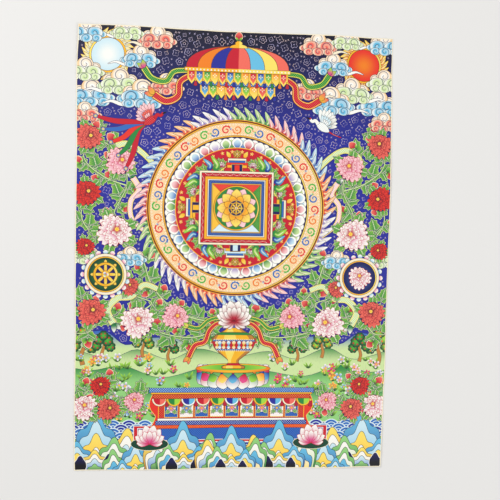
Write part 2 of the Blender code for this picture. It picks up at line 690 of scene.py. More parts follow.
@dataclass(frozen=True)
class Streamer:
    """A silk band that hangs in folds along a path given in millimetres."""

    path: Path
    near: Pigment
    far: Pigment
    back: Pigment
    half: float = 4.0

    def paint(self, place: Place) -> None:
        """Lays the band, its two edge stripes and its forked end."""
        line = smooth(self.path, 7)
        place.lay(ribbon(line, self.half * 0.7, self.half), self.near, self.far, BROCADE, INK)
        side = normals(line) * np.linspace(self.half * 0.7, self.half, len(line))[:, None] * 0.78
        for sign in (-1, 1):
            place.gold(ribbon(line + sign * side, 0.3, 0.35), None)
        way = line[-1] - line[-2]
        heading = degrees(atan2(way[1], way[0]))
        for turn in (-24, 24):
            tip = place.inside(*line[-1], heading + turn, self.half * 2.4)
            tip.lay(petal(0.3, 0.4), self.back, self.far, PETAL, INK, 0.35)


@dataclass(frozen=True)
class Tassel:
    """A pendant of silk threads, 1 unit long, hanging from the origin."""

    near: Pigment
    far: Pigment

    def paint(self, place: Place) -> None:
        """Lays the skirt of threads and the gold knot."""
        skirt = np.array([(-0.08, -0.25), (-0.24, -0.9), (0.0, -1.0), (0.24, -0.9), (0.08, -0.25)])
        place.lay(skirt, self.near, self.far, PETAL, INK, 0.3)
        place.inside(0, -0.18, 0, 0.14).gold(disc(8), width=0.25)


class Canopy:
    """A ceremonial parasol seen from the front, in millimetres, its ferrule at the origin."""

    HALF = 52.0
    RISE = 24.0
    COLOURS = ((CRIMSON, CORAL), (LAPIS, SKY), (MALACHITE, LIME), (ORANGE, LEMON))
    BANDS = (
        Streamer(((46, -6), (58, -14), (60, -28), (72, -34), (84, -28)), CRIMSON, CORAL, SAFFRON),
        Streamer(((48, -2), (64, -4), (72, -14), (86, -12), (94, -2)), MALACHITE, LIME, ROSE, 3.4),
    )

    def paint(self, place: Place) -> None:
        """Lays the streamers, the two valances, the dome and its finial."""
        place.twice(self.BANDS)
        self._valance(place.inside(0, -14.5), self.HALF * 0.72, 9, 15.0, 1)
        place.inside(0, -13.5).lay(oblong(self.HALF * 1.5, 4.2), AZURE, ICE, BROCADE, INK)
        self._valance(place.inside(0, -2.0), self.HALF * 0.97, 13, 14.0, 0)
        turn = np.linspace(0, pi, 22)
        dome = np.stack([np.cos(turn), np.sin(turn) ** 0.8], 1)
        for share, index in ((1.0, 0), (0.78, 3), (0.52, 1), (0.24, 0)):
            place.lay(dome, *self.COLOURS[index], FADE, UMBER, 0.5, scale=(self.HALF * share, self.RISE))
        place.inside(0, -0.6).gold(oblong(self.HALF * 2.06, 3.4))
        place.pearl_row([(-self.HALF, -0.6), (self.HALF, -0.6)], 3.6, 0.9)
        self._finial(place.inside(0, self.RISE - 0.5))

    def _valance(self, place: Place, half: float, count: int, drop: float, first: int) -> None:
        """Lays one row of pointed flaps with their borders and tassels."""
        for k in range(count):
            x = half * (2 * (k + 0.5) / count - 1)
            near, far = self.COLOURS[(k + first) % 4]
            flap = place.inside(x, 1.0, -90, drop)
            broad = half / count / drop * 1.12
            for size, one, two in ((1.0, SAFFRON, LEMON), (0.84, near, far)):
                shape = np.array([(0, -broad), (0.62, -broad), (0.8, -broad * 0.5), (1, 0),
                    (0.8, broad * 0.5), (0.62, broad), (0, broad)])
                shape[:, 1] *= 0.8 if size < 1 else 1.0
                flap.sized(size).lay(shape, one, two, FADE, INK if size == 1 else None, 0.3)
            Rosette(far, CHALK, petals=4).paint(flap.inside(0.36, 0, 0, 0.15))
            Tassel(near, far).paint(place.inside(x + half / count, -drop * 0.55, 0, 7.5))

    def _finial(self, place: Place) -> None:
        """Lays the gold knob with its bud."""
        knob = profile(((-1, 9), (1, 7.5), (2.6, 3), (4, 3.6), (5.6, 1.6), (7.5, 0.4)), steps=3)
        place.gold(knob)
        Bud().paint(place.inside(0, 6.5, 90, 8.5))


class Wheel:
    """A gold wheel of eight spokes and radius 1."""

    def paint(self, place: Place) -> None:
        """Lays the knobs, the rim, the spokes and the hub."""
        for spot in place.wreath(8, 0.94, 0.3):
            spot.gold(petal(0.4, 0.5), width=0.3)
        place.gold(disc(32))
        place.sized(0.8).lay(disc(32), LAPIS, INDIGO, GLOW, UMBER, 0.3)
        for spot in place.wreath(8, 0.0):
            spoke = ribbon(np.stack([np.linspace(0.1, 0.82, 5), np.zeros(5)], 1), 0.045, 0.09, 0.05)
            spot.gold(spoke, width=0.3)
        place.sized(0.3).gold(disc(20), width=0.3)
        for k, pigment in enumerate((CRIMSON, AZURE, LEAF)):
            place.inside(0, 0, 120 * k, 0.24).lay(petal(0.5, 0.6, 0.7), pigment, CHALK, FADE)


@dataclass(frozen=True)
class Roundel:
    """A round field of radius 1 in a gold rim, on a lotus, with a motif in it."""

    field_near: Pigment
    field_far: Pigment
    motif: Wheel | Peony

    def paint(self, place: Place) -> None:
        """Lays the petals round the rim, the field and the motif."""
        for k, spot in enumerate(place.wreath(20, 0.98, 0.26)):
            spot.lay(petal(0.5, 0.6, 0.7, 4), (ROSE, SKY)[k % 2], CHALK, FADE, INK, 0.3)
        place.sized(1.04).lay(disc(40), PEACH, CREAM, GLOW, UMBER, 0.4)
        place.sized(0.9).gold(disc(40), width=0.4)
        place.sized(0.85).lay(disc(40), self.field_near, self.field_far, GLOW)
        self.motif.paint(place.sized(0.6))


@dataclass(frozen=True)
class Branch:
    """A flowering stem with leaves on both sides, along a path in millimetres."""

    path: Path

    PITCH = 10.6  # between its shoots
    REACH = 11.4  # of a shoot

    def paint(self, place: Place, rng: random.Random) -> None:
        """Lays the leaves and buds that grow from the stem, then the stem."""
        line = smooth(self.path, 8)
        run = distances(line)
        way = np.unwrap(np.arctan2(*np.gradient(line, axis=0).T[::-1]))
        count = int(run[-1] / self.PITCH)
        for k in range(1, count + 1):
            x, y, heading = (np.interp(run[-1] * k / count, run, values) for values in (*line.T, way))
            lean = (1 if k % 2 else -1) * rng.uniform(38, 62)
            self._spray(place.inside(x, y, degrees(heading) + lean), rng, k)
        place.lay(ribbon(line, 0.62, 0.35), CELADON, line=BOTTLE, width=0.35)

    def _spray(self, place: Place, rng: random.Random, k: int) -> None:
        """Lays one side shoot: a stalk, two or three leaves, and sometimes a bud."""
        reach = self.REACH * rng.uniform(0.85, 1.15)
        stalk = smooth(((0, 0), (reach * 0.35, 0.6), (reach * 0.7, -0.4)), 3)
        place.lay(ribbon(stalk, 0.5, 0.3), CREAM, line=BOTTLE, width=0.3)
        for turn, size, at in ((-58, 0.9, 0.2), (52, 0.95, 0.3), (-4, 1.1, 0.5)):
            Leaf().paint(place.inside(reach * at, 0, turn + rng.uniform(-9, 9), reach * size))
        if k % 3:
            Bud().paint(place.inside(reach * 0.7, 0, rng.uniform(20, 60) * rng.choice((-1, 1)),
                reach * 0.72))


class Palace:
    """The square palace of the mandala with its four gates, half its wall's side being 1 unit."""

    QUARTERS = ((MALACHITE, LIME), (VERMILION, CORAL), (SAFFRON, LEMON), (ICE, CHALK))
    WALLS = (
        (1.06, CREAM, CREAM, PLAIN),
        (1.0, CRIMSON, VERMILION, PLAIN),
        (0.9, SAFFRON, ORANGE, BROCADE),
        (0.82, CHALK, CHALK, PLAIN),
        (0.79, LAPIS, SKY, BROCADE),
        (0.71, GOLD, LEMON, PLAIN),
    )

    def paint(self, place: Place) -> None:
        """Lays the gates, the walls one inside another, and the four quarters of the court."""
        sides = place.wreath(4, 0.0)
        for side, colours in zip(sides, self.QUARTERS):
            self._gate(side, *colours)
        for half, near, far, grain in self.WALLS:
            place.lay(oblong(2 * half, 2 * half), near, far, grain, INK, 0.35)
        for side in sides:
            self._garland(side)
        court = 0.68
        for side, colours in zip(sides, self.QUARTERS):
            side.lay([(0, 0), (court, -court), (court, court)], *colours, BROCADE, INK, 0.3)

    def _gate(self, place: Place, near: Pigment, far: Pigment) -> None:
        """Lays the tiers of one gate, outwards along u."""
        tiers = ((1.12, 0.7, CRIMSON), (1.2, 0.56, SAFFRON), (1.27, 0.62, near), (1.33, 0.46, AZURE),
            (1.39, 0.52, CREAM))
        for out, width, pigment in reversed(tiers):
            place.inside(out - 0.03, 0).lay(oblong(0.14, width), pigment, line=INK, width=0.3)
        place.inside(1.06, 0).lay(oblong(0.4, 0.3), INDIGO, line=GOLD, width=0.35)
        place.inside(1.04, 0).lay(oblong(0.4, 0.14), near, far, PLAIN)
        Wheel().paint(place.inside(1.56, 0, 0, 0.1))
        for side in (-1, 1):
            place.inside(1.46, side * 0.2, 30 * side, 0.2).gold(petal(0.3, 0.4), width=0.25)
            Flame(LAPIS, SKY, INK).paint(place.inside(1.08, side * 0.82, 8 * side, 0.34))
            Flame(MALACHITE, LIME, INK).paint(place.inside(1.08, side * 0.66, -4, 0.4))

    def _garland(self, place: Place) -> None:
        """Hangs strings of pearls in swags along one wall."""
        swags, span = 9, 1.8
        for k in range(swags):
            share = np.linspace(0, 1, 7)
            across = span * ((k + share) / swags - 0.5)
            path = np.stack([0.985 - 0.045 * np.sin(pi * share), across], 1)
            place.pearl_row(path, 1.5, 0.42)


class Mandala:
    """The round mandala in millimetres: rings of fire, scrolls and petals round a palace and a lotus."""

    RADIUS = 92.0
    FIRE = ((VERMILION, PEACH), (AZURE, ICE), (CRIMSON, BLUSH), (MALACHITE, CELADON), (LILAC, CHALK))
    PETALS = ((CRIMSON, BLUSH), (AZURE, ICE), (MALACHITE, CELADON), (LILAC, CHALK))

    def paint(self, place: Place) -> None:
        """Lays the rings from the outermost inwards, then the palace and the lotus at its heart."""
        whole = place.sized(self.RADIUS)
        self._fire(whole)
        self._scrolls(whole)
        self._petals(whole)
        whole.sized(0.665).lay(disc(72), VERMILION, CRIMSON, GLOW, SAFFRON, 0.8)
        for spot in whole.wreath(36, 0.627, 0.02, 5.0):
            Rosette(SAFFRON, LEMON, CREAM).paint(spot)
        for spot in whole.wreath(4, 0.0, start=45):
            self._spandrel(spot)
        Palace().paint(whole.sized(0.385))
        self._heart(whole.sized(0.235))

    def _spandrel(self, place: Place) -> None:
        """Lays the flowers and leaves beyond one corner of the palace, along u."""
        for x, y, turn, size in ((0.5, 0.0, 0, 0.075), (0.46, 0.2, 30, 0.05), (0.46, -0.2, -30, 0.05)):
            for lean in (-70, -35, 0, 35, 70, 180):
                Leaf(line=LEMON).paint(place.inside(x, y, turn + lean).inside(0.5 * size, 0, 0,
                    1.25 * size))
            Lotus(ROSE, CHALK, MAROON).paint(place.inside(x - 0.3 * size, y, turn, size))
        for side in (-1, 1):
            path = smooth(((0.4, 0.05 * side), (0.42, 0.14 * side), (0.4, 0.27 * side),
                (0.34, 0.33 * side)), 4)
            place.lay(ribbon(path, 0.006, 0.004), LEMON)

    def _fire(self, whole: Place) -> None:
        """Lays the ring of flames on its dark red ground."""
        for size, row, start in ((0.15, 0.97, 0.0), (0.125, 0.945, 3.0)):
            for k, spot in enumerate(whole.wreath(60, row, size, start)):
                Flame(*self.FIRE[(k // 4) % 5], INDIGO).paint(spot)
        whole.sized(0.975).lay(disc(90), MAROON, line=SAFFRON, width=0.6)

    def _scrolls(self, whole: Place) -> None:
        """Lays the peach band with its small coloured curls and two rows of pearls."""
        whole.sized(0.96).gold(disc(90))
        whole.sized(0.945).lay(disc(90), PEACH, CREAM, BROCADE, UMBER, 0.35)
        colours = (VERMILION, AZURE, LEAF, ORANGE)
        for k, spot in enumerate(whole.wreath(44, 0.872, 0.05)):
            spot = spot.inside(0, 0, 90 if k % 2 else -90)
            spot.lay(ribbon(curl(1.4, 13), 0.2, 0.1), colours[k % 4], line=CREAM, width=0.2)
            spot.inside(0.9, -0.1, 60, 0.8).lay(petal(0.34), colours[(k + 1) % 4], CREAM, FADE)
        whole.sized(0.805).gold(disc(90))
        for radius in (0.925, 0.822):
            circle = np.concatenate([disc(120), disc(120)[:1]]) * radius
            whole.pearl_row(circle, 3.0, 0.6)

    def _petals(self, whole: Place) -> None:
        """Lays the ring of lotus petals, two deep."""
        whole.sized(0.79).lay(disc(90), INDIGO, line=UMBER, width=0.35)
        for start, reach in ((180 / 36, 0.125), (0.0, 0.12)):
            for k, spot in enumerate(whole.wreath(36, 0.66, reach, start)):
                spot.lay(petal(0.5, 0.55, 0.62, 7), CHALK, line=INK, width=0.3)
                colours = self.PETALS[(k + (start > 0)) % 4]
                spot.sized(0.82).lay(petal(0.4, 0.55, 0.62, 7), *colours, FADE)

    def _heart(self, place: Place) -> None:
        """Lays the green disc, the gold and crimson lotus and its jewelled wheel."""
        place.sized(1.06).gold(disc(48), width=0.5)
        place.lay(disc(48), LEAF, MALACHITE, GLOW, BOTTLE, 0.3)
        for start, reach, broad, near, far in ((22.5, 0.98, 0.26, CRIMSON, BLUSH),
                (0.0, 0.9, 0.3, ORANGE, LEMON), (22.5, 0.62, 0.3, VERMILION, SAFFRON)):
            for spot in place.wreath(8, 0.0, reach, start):
                spot.lay(petal(broad, 0.6, 0.8), near, far, PETAL, MAROON, 0.4)
        place.sized(0.36).lay(disc(32), AZURE, INDIGO, GLOW, GOLD, 0.7)
        Wheel().paint(place.sized(0.27))


class Vase:
    """The treasure vase in millimetres, its foot at the origin and its mouth 52 above."""

    ROWS = ((0, 11), (2, 11.5), (4, 6.5), (8, 5), (12, 9), (20, 18.5), (28, 21.5), (34, 19), (39, 10.5),
        (43, 6.2), (47, 6.6), (50, 11), (52, 12))
    BANDS = (
        (3.0, 5.2, CRIMSON, ORANGE, PLAIN),
        (19.0, 29.5, AZURE, ICE, BROCADE),
        (20.5, 28.0, CRIMSON, CORAL, PLAIN),
        (35.0, 37.5, MALACHITE, LIME, PLAIN),
        (42.5, 45.5, AZURE, ICE, PLAIN),
    )
    RIBBONS = (
        Streamer(((4, 44), (16, 47), (25, 40), (30, 28), (40, 24), (46, 12)), CRIMSON, CORAL, SAFFRON, 3.0),
        Streamer(((4, 43), (14, 52), (26, 50), (36, 42), (47, 44)), MALACHITE, LIME, LEMON, 2.4),
    )

    def paint(self, place: Place) -> None:
        """Lays the ribbons behind, the body, its bands and petals, and the lip."""
        place.twice(self.RIBBONS)
        body = profile(self.ROWS)
        place.lay(body, OCHRE, LEMON, PLAIN, UMBER, 0.6, gilt=0.5)
        for share, shift, pigment in ((0.8, -1.2, SAFFRON), (0.3, -4.0, LEMON)):
            place.lay(body * (share, 1) + (shift, 0), pigment, gilt=0.6)
        for low, high, near, far, grain in self.BANDS:
            place.lay(profile(self.ROWS, low, high), near, far, grain, UMBER, 0.4)
        for k in range(-4, 5):
            colours = ((SAFFRON, CREAM), (SKY, CHALK))[k % 2]
            for way, size in ((1, 4.6), (-1, 4.2)):
                spot = place.inside(17.5 * sin(k / 4 * 1.2), 24.3, way * (90 - 6 * k), size)
                spot.lay(petal(0.42, 0.55, 0.7), *colours, FADE, MAROON, 0.3)
        for height, half in ((30.2, 20.2), (18.4, 16.6)):
            place.pearl_row([(-half, height), (half, height)], 1.9, 0.55)


class Plinth:
    """A carved and painted table in millimetres, its top edge's middle at the origin, on a carpet."""

    HALF = 82.0
    HIGH = 48.0
    BANDS = (
        (2.4, 6, 4.8, AZURE, ICE, BROCADE),
        (5.6, 2, 1.6, SAFFRON, SAFFRON, PLAIN),
        (9.0, -2, 5.0, CRIMSON, SAFFRON, BROCADE),
        (33.0, -12, 2.6, CHALK, CHALK, PLAIN),
        (36.4, -8, 4.6, LAPIS, ICE, BROCADE),
        (40.2, -4, 3.2, VERMILION, SAFFRON, BROCADE),
    )
    SWAGS = ((CREAM, CRIMSON, CORAL), (SAFFRON, MALACHITE, LIME), (CHALK, LAPIS, SKY))

    def paint(self, place: Place) -> None:
        """Lays the carpet, the legs, the panels, the bands and the drape."""
        for width, high, near, far in ((36, 17, CRIMSON, VERMILION), (28, 12, AZURE, LAPIS)):
            place.inside(0, -self.HIGH).lay(oblong(2 * self.HALF + width, high), near, far, BROCADE,
                CHALK, 0.6)
        for side in place.both():
            leg = smooth(((self.HALF - 5, -8), (self.HALF - 2, -18), (self.HALF - 8, -30),
                (self.HALF + 1, -self.HIGH)), 4)
            side.lay(ribbon(leg, 4.6, 3.0, 0.6), CRIMSON, VERMILION, FADE, LEMON)
        body = (2 * self.HALF - 14, self.HIGH - 16)
        place.inside(0, -8 - body[1] / 2).lay(oblong(*body), CRIMSON, ORANGE, BROCADE, SAFFRON, 0.7)
        for k in range(-4, 5):
            panel = place.inside(15.6 * k, -21.5)
            near, far = ((AZURE, LAPIS), (CHALK, BLUSH))[k % 2]
            panel.lay(oblong(13.0, 17), near, far, BROCADE, LEMON, 0.5)
            flower = ((ROSE, CHALK), (AZURE, ICE))[k % 2]
            Rosette(*flower, petals=8, line=INDIGO).paint(panel.inside(0, 0.5, 0, 4.6))
            for turn in (45, 135, 225, 315):
                Leaf().paint(panel.inside(0, 0.5, turn).inside(3.2, 0, 0, 4.6))
        for drop, width, high, near, far, grain in self.BANDS:
            place.inside(0, -drop).lay(oblong(2 * self.HALF + width, high), near, far, grain, INK, 0.4)
        swags = 11
        for k in range(swags):
            x = self.HALF * (2 * (k + 0.5) / swags - 1)
            edge, near, far = self.SWAGS[k % 3]
            swag = polar(1.0, np.linspace(pi, tau, 12))
            for size, one, two, line in ((1.0, edge, edge, INK), (0.82, near, far, None)):
                place.inside(x, -11.2).lay(swag, one, two, FADE, line, 0.35,
                    scale=(self.HALF / swags * size, 7.5 * size))
            Tassel(CRIMSON, CORAL).paint(place.inside(x + self.HALF / swags, -11, 0, 8.5))


@dataclass(frozen=True)
class Hill:
    """A range of rounded hills: its skyline in millimetres for one half, closed far below."""

    skyline: Path
    near: Pigment
    far: Pigment

    FOOT = -226.0
    DEPTH = 20.0  # of its shading

    def paint(self, place: Place) -> None:
        """Lays the hills across the whole cloth, shaded from their tops down."""
        left = [(-x, y + 2.5 * sin(x * 0.05)) for x, y in reversed(self.skyline[1:])]
        line = smooth([*left, *self.skyline], 5)
        top, low = line[:, 1].max(), [(line[end, 0], self.FOOT) for end in (-1, 0)]
        x, y = np.concatenate([line, low]).T
        shape = np.stack([top - y, x], 1) / self.DEPTH
        place.inside(0, top, -90, self.DEPTH).lay(shape, self.near, self.far, TURF, INDIGO, 0.4)


class Rock:
    """A heap of rounded, banded mounds, its foot at the origin and about 1 unit high."""

    MOUNDS = ((-0.42, 0.72, 0.3, 2), (0.44, 0.76, 0.29, 1), (0.0, 1.0, 0.34, 0), (-0.25, 0.58, 0.25, 1),
        (0.27, 0.52, 0.25, 0), (0.02, 0.38, 0.22, 2))
    BANDS = (
        ((LAPIS, SKY), (SKY, ICE), (SAFFRON, LEMON), (CREAM, CHALK)),
        ((MALACHITE, MEADOW), (CELADON, CHALK), (AZURE, SKY), (LEMON, CREAM)),
        ((OCHRE, LEMON), (CREAM, CHALK), (AZURE, ICE), (BOTTLE, MEADOW)),
    )

    def paint(self, place: Place) -> None:
        """Lays the mounds from the back, and the mouths of two caves."""
        for x, height, half, kind in self.MOUNDS:
            for size, (near, far) in zip((1.0, 0.83, 0.64, 0.42), self.BANDS[kind]):
                shape = self._mound(3, half / height * (0.8 + 0.2 / size))
                place.inside(x, 0, 90 - 12 * x, height * size).lay(shape, near, far, FADE, INK, 0.45)
        for x, size in ((-0.2, 0.2), (0.24, 0.17)):
            place.inside(x, 0.12, 90, size).lay(self._mound(2, 0.55), INK, INDIGO, FADE, CHALK, 0.5)

    def _mound(self, lobes: int, half: float) -> Points:
        """A tall arch with a wavy edge, from its foot up to (1, 0)."""
        turn = np.linspace(-pi / 2, pi / 2, 10 * lobes + 1)
        out = 0.91 + 0.09 * np.cos(turn * 2 * lobes)
        arch = np.stack([out * np.cos(turn) ** 0.75, half * out * np.sin(turn)], 1)
        return np.concatenate([[(-0.3, -half * 0.8)], arch, [(-0.3, half * 0.8)]])


@dataclass(frozen=True)
class Tree:
    """A small round-headed tree, 1 unit high from its foot at the origin."""

    near: Pigment
    far: Pigment
    fruit: Pigment

    def paint(self, place: Place) -> None:
        """Lays the trunk and the heads of leaves."""
        trunk = smooth(((0, 0), (0.05, 0.25), (-0.03, 0.55), (0.02, 0.8)), 3)
        place.lay(ribbon(trunk, 0.06, 0.03), OCHRE, CREAM, FADE, UMBER, 0.35)
        for x, y, radius in ((-0.24, 0.52, 0.2), (0.25, 0.56, 0.2), (-0.14, 0.74, 0.22),
                (0.16, 0.78, 0.2), (0, 0.92, 0.18)):
            head = place.inside(x, y, 0, radius)
            head.lay(scallop(8, 0.16, 3), self.near, self.far, GLOW, BOTTLE, 0.35)
            for spot in head.wreath(4, 0.5, 0.16, 40 + 90 * x):
                replace(spot, turn=head.turn).lay(disc(6), self.fruit)


@dataclass(frozen=True)
class Bird:
    """A bird in flight towards +u, 1 unit from bill to feet. One with train colours has a train."""

    body: tuple[Pigment, Pigment] = (CHALK, ICE)
    wing: tuple[Pigment, Pigment] = (ICE, CHALK)
    tips: Pigment = INK
    line: Pigment = SLATE
    train: tuple[Pigment, ...] = ()

    def paint(self, place: Place) -> None:
        """Lays the legs or the train, the far wing, the near wing, the body and the neck."""
        if not self.train:
            legs = smooth(((-0.1, 0), (-0.34, 0.0), (-0.58, 0.05)), 2)
            place.lay(ribbon(legs, 0.02, 0.012), CRIMSON, line=INK, width=0.25)
        for k, pigment in enumerate(self.train):
            lean = (k - (len(self.train) - 1) / 2) * 0.17
            path = smooth(((-0.1, 0), (-0.45, lean * 0.5 + 0.05), (-0.9, lean * 1.6 - 0.05),
                (-1.3, lean * 2.6)), 5)
            place.lay(ribbon(path, 0.02, 0.03, 0.05), pigment, LEMON, FADE, self.line, 0.3)
            place.inside(*path[-1], 0, 0.065).lay(disc(8), LEMON, AZURE, GLOW, self.line, 0.3)
        for base, lean in ((0.06, 118), (-0.02, 78)):
            for row, (reach, count, step) in enumerate(((0.54, 6, 13), (0.36, 5, 14), (0.24, 3, 18))):
                for k in range(count):
                    turn = lean + (k - (count - 1) / 2) * step
                    near, far = self.wing if row % 2 == 0 else self.body
                    near = self.tips if row == 0 and k > 3 else near
                    place.inside(base, 0.03, turn, reach - 0.02 * k).lay(petal(0.15, 0.6, 0.8, 4), near,
                        far, FADE, self.line, 0.28)
        place.inside(-0.2, 0.0, 4, 0.46).lay(petal(0.24, 0.5, 0.7), *self.body, BROCADE, self.line, 0.35)
        neck = smooth(((0.18, 0.02), (0.3, 0.07), (0.36, 0.0), (0.46, 0.03)), 4)
        place.lay(ribbon(neck, 0.05, 0.032), self.body[0], line=self.line, width=0.3)
        place.inside(0.43, 0.03, -6, 0.16).lay(petal(0.18, 0.3), INK)
        place.inside(0.455, 0.05, 0, 0.024).lay(disc(6), CRIMSON)


class Lake:
    """The water at the picture's foot: rows of waves in millimetres."""

    SHORE = -176.0
    FOOT = -236.0
    WAVE = 8.5

    def paint(self, place: Place) -> None:
        """Lays the water, then the waves from the shore to the foot."""
        rows = ceil((self.SHORE - self.FOOT) / (self.WAVE * 0.5))
        place.inside(0, (self.SHORE + self.FOOT) / 2).lay(oblong(340, self.SHORE - self.FOOT), INDIGO,
            line=CHALK, width=0.6)
        for row in range(rows):
            y = self.SHORE - self.WAVE * (0.62 + 0.5 * row)
            count = 21
            for k in range(-1, count + 1):
                x = (k - count / 2 + 0.5 * (row % 2)) * self.WAVE * 1.9
                wave = place.inside(x, y, 0, self.WAVE)
                near = (AZURE, LAPIS, AZURE)[(k + row) % 3]
                wave.lay(disc(14), near, ICE, WAVE, CHALK, 0.3)


# ---- The whole picture ----


class Garden:
    """The picture's layout: a mandala under a canopy, over a vase in a flowering landscape."""

    SEED = 11
    PEONIES = (Peony(ROSE, CHALK, CRIMSON), Peony(CRIMSON, CORAL, MAROON), Peony(ROSE, BLUSH, CRIMSON),
        Peony(MAROON, VERMILION, MAROON))
    BRANCHES = (
        Branch(((4, -62), (30, -70), (62, -58), (84, -34), (94, -8), (116, 12), (122, 38), (110, 66),
            (116, 92), (140, 116))),
        Branch(((4, -66), (34, -86), (70, -84), (104, -70), (134, -64), (154, -50))),
        Branch(((116, 12), (140, 16), (154, 34), (150, 62))),
        Branch(((110, 66), (132, 74), (152, 92), (150, 118))),
        Branch(((96, -62), (84, -52), (102, -44), (104, -30))),
        Branch(((134, -64), (146, -82), (158, -84))),
    )
    SCARVES = (
        Streamer(((80, 84), (96, 100), (112, 108), (126, 100), (124, 84), (112, 82)), CELADON, CHALK,
            MALACHITE, 3.6),
        Streamer(((88, 18), (104, 32), (106, 50), (98, 62), (104, 74)), BLUSH, CHALK, MALACHITE, 3.0),
        Streamer(((78, -38), (92, -34), (104, -46), (118, -48), (128, -60), (122, -74)), CELADON, CHALK,
            MALACHITE, 3.8),
    )
    FLOWERS = ((60, -66, 13, 2), (98, -72, 16.5, 0), (144, -62, 14, 1), (122, 20, 17, 0),
        (149, 58, 13, 3), (117, 90, 14, 2), (148, 114, 13, 1), (150, 4, 9, 3), (106, -36, 9, 1))
    CLOUDS = Cloud(SKY, CHALK), Cloud(CELADON, CHALK), Cloud(CORAL, CREAM)
    BANKS = ((146, 154, 18, 0), (118, 166, 17, 1), (96, 154, 19, 0), (152, 178, 15, 1), (72, 166, 14, 2),
        (98, 192, 15, 0), (82, 212, 15, 2), (112, 218, 13, 1), (152, 216, 15, 0), (152, -6, 14, 1),
        (106, -8, 13, 0), (152, 136, 13, 2))

    def paint(self) -> Picture:
        """Paints everything from the ground up.

        Returns:
            The finished picture.
        """
        picture, rng = Picture(), random.Random(self.SEED)
        cloth = Place(picture=picture)
        ground = (oblong(340, 480) - (0, 90)) @ np.array([(0, -1), (1, 0)]) / 145
        cloth.inside(0, 90, 90, 145).lay(ground, LAPIS, MIDNIGHT, FADE)
        self._land(cloth, rng)
        for half in cloth.both():
            for branch in self.BRANCHES:
                branch.paint(half, rng)
        self._heaven(cloth)
        cloth.twice(self.SCARVES)
        Canopy().paint(cloth.inside(0, 186))
        Mandala().paint(cloth.inside(0, 46))
        self._flowers(cloth, rng)
        self._island(cloth)
        return picture

    def _land(self, cloth: Place, rng: random.Random) -> None:
        """Lays the hills, their trees and ground flowers, and the lake with its rocks."""
        for skyline, near, far in (
            (((0, -98), (40, -92), (84, -86), (110, -94), (134, -82), (175, -94)), AZURE, CELADON),
            (((0, -108), (36, -102), (66, -110), (98, -98), (128, -110), (175, -96)), MALACHITE, CELADON),
            (((0, -124), (30, -122), (74, -128), (112, -116), (144, -124), (175, -118)), MALACHITE, MEADOW),
            (((0, -150), (44, -148), (84, -140), (126, -152), (175, -140)), MALACHITE, MEADOW),
        ):
            Hill(skyline, near, far).paint(cloth)
        for half in cloth.both():
            for x, y, size, near in ((66, -112, 24, LEAF), (152, -116, 36, LIME), (132, -112, 28, LEAF),
                    (92, -108, 26, LIME)):
                Tree(near, BOTTLE, CRIMSON if near is LEAF else ORANGE).paint(half.inside(x, y, 0, size))
            spots = sorted((rng.uniform(-176, -112), rng.uniform(40, 158)) for _ in range(90))[::-1]
            for y, x in spots:
                self._tuft(half.inside(x, y, 90), rng)
        Lake().paint(cloth)
        for half in cloth.both():
            for x, y, size in ((138, -229, 66), (98, -238, 46)):
                Rock().paint(half.inside(x, y, 0, size))
            for path in (((158, -172), (136, -156), (112, -160), (96, -150)), ((158, -166), (148, -144),
                    (128, -136))):
                Branch(path).paint(half, rng)
            for x, y, size, kind in ((150, -160, 13, 0), (126, -162, 11.5, 1), (100, -154, 10, 2),
                    (134, -138, 10, 3)):
                self._bloom(half.inside(x, y), size, kind, rng)

    def _tuft(self, place: Place, rng: random.Random) -> None:
        """Lays blades of grass, or a ground flower on its stalk, growing along u."""
        for turn in (-44, -20, 22, 46):
            blade = place.inside(0, 0, turn + rng.uniform(-8, 8), rng.uniform(5, 10))
            blade.lay(petal(0.13, 0.4, 0.8, 2), BOTTLE, LIME, FADE)
        if rng.random() < 0.62:
            near, far = rng.choice(((CRIMSON, ROSE), (ROSE, CHALK), (LILAC, CHALK), (AZURE, ICE),
                (VERMILION, LEMON)))
            size = rng.uniform(3.0, 5.0)
            Rosette(near, far).paint(place.inside(5.5, 0, rng.uniform(0, 72), size))

    def _heaven(self, cloth: Place) -> None:
        """Lays the sun and the moon in their rings of flames, and the banks of clouds."""
        for half, near, far in zip(cloth.both(), (CHALK, ORANGE), (ICE, VERMILION)):
            orb = half.inside(130, 196)
            for start, reach in ((7.5, 10.0), (0.0, 8.0)):
                for spot in orb.wreath(24, 16.0, reach, start):
                    Flame(far, LEMON, MAROON).paint(spot)
            orb.sized(18).gold(disc(40))
            orb.sized(16).lay(disc(40), near, far, GLOW, UMBER)
            for x, y, size, kind in self.BANKS:
                self.CLOUDS[kind].paint(half.inside(x, y, 0, size))

    def _island(self, cloth: Place) -> None:
        """Lays the painted table, its rocks, the lotus seat, the vase, and all the lotuses."""
        vase = cloth.inside(0, -120)
        Plinth().paint(vase.inside(0, -20))
        for x, y, size in ((-50, -230, 56), (50, -230, 56), (0, -232, 52)):
            Rock().paint(cloth.inside(x, y, 0, size))
        LotusSeat().paint(vase.inside(0, 1, 0, 40))
        Vase().paint(vase)
        for turn, size in ((152, 15), (28, 15), (128, 18), (52, 18), (90, 19)):
            Lotus(CRIMSON, CHALK, MAROON).paint(vase.inside(0, 50, turn, size))
        for half in cloth.both():
            pad = half.inside(84, -198)
            pad.lay(disc(24), LEAF, BOTTLE, GLOW, CREAM, scale=(19, 6.5))
            Lotus(ROSE, CHALK, CRIMSON).paint(pad.inside(0, 0, 90, 18))

    def _bloom(self, place: Place, size: float, kind: int, rng: random.Random) -> None:
        """Lays one large flower on its leaves."""
        for k in range(5):
            turn = 72 * k + rng.uniform(-16, 16)
            Leaf().paint(place.inside(0, 0, turn).inside(size * 0.55, 0, 0, size * 0.95))
        self.PEONIES[kind].paint(place.inside(0, 0, rng.uniform(0, 90), size))

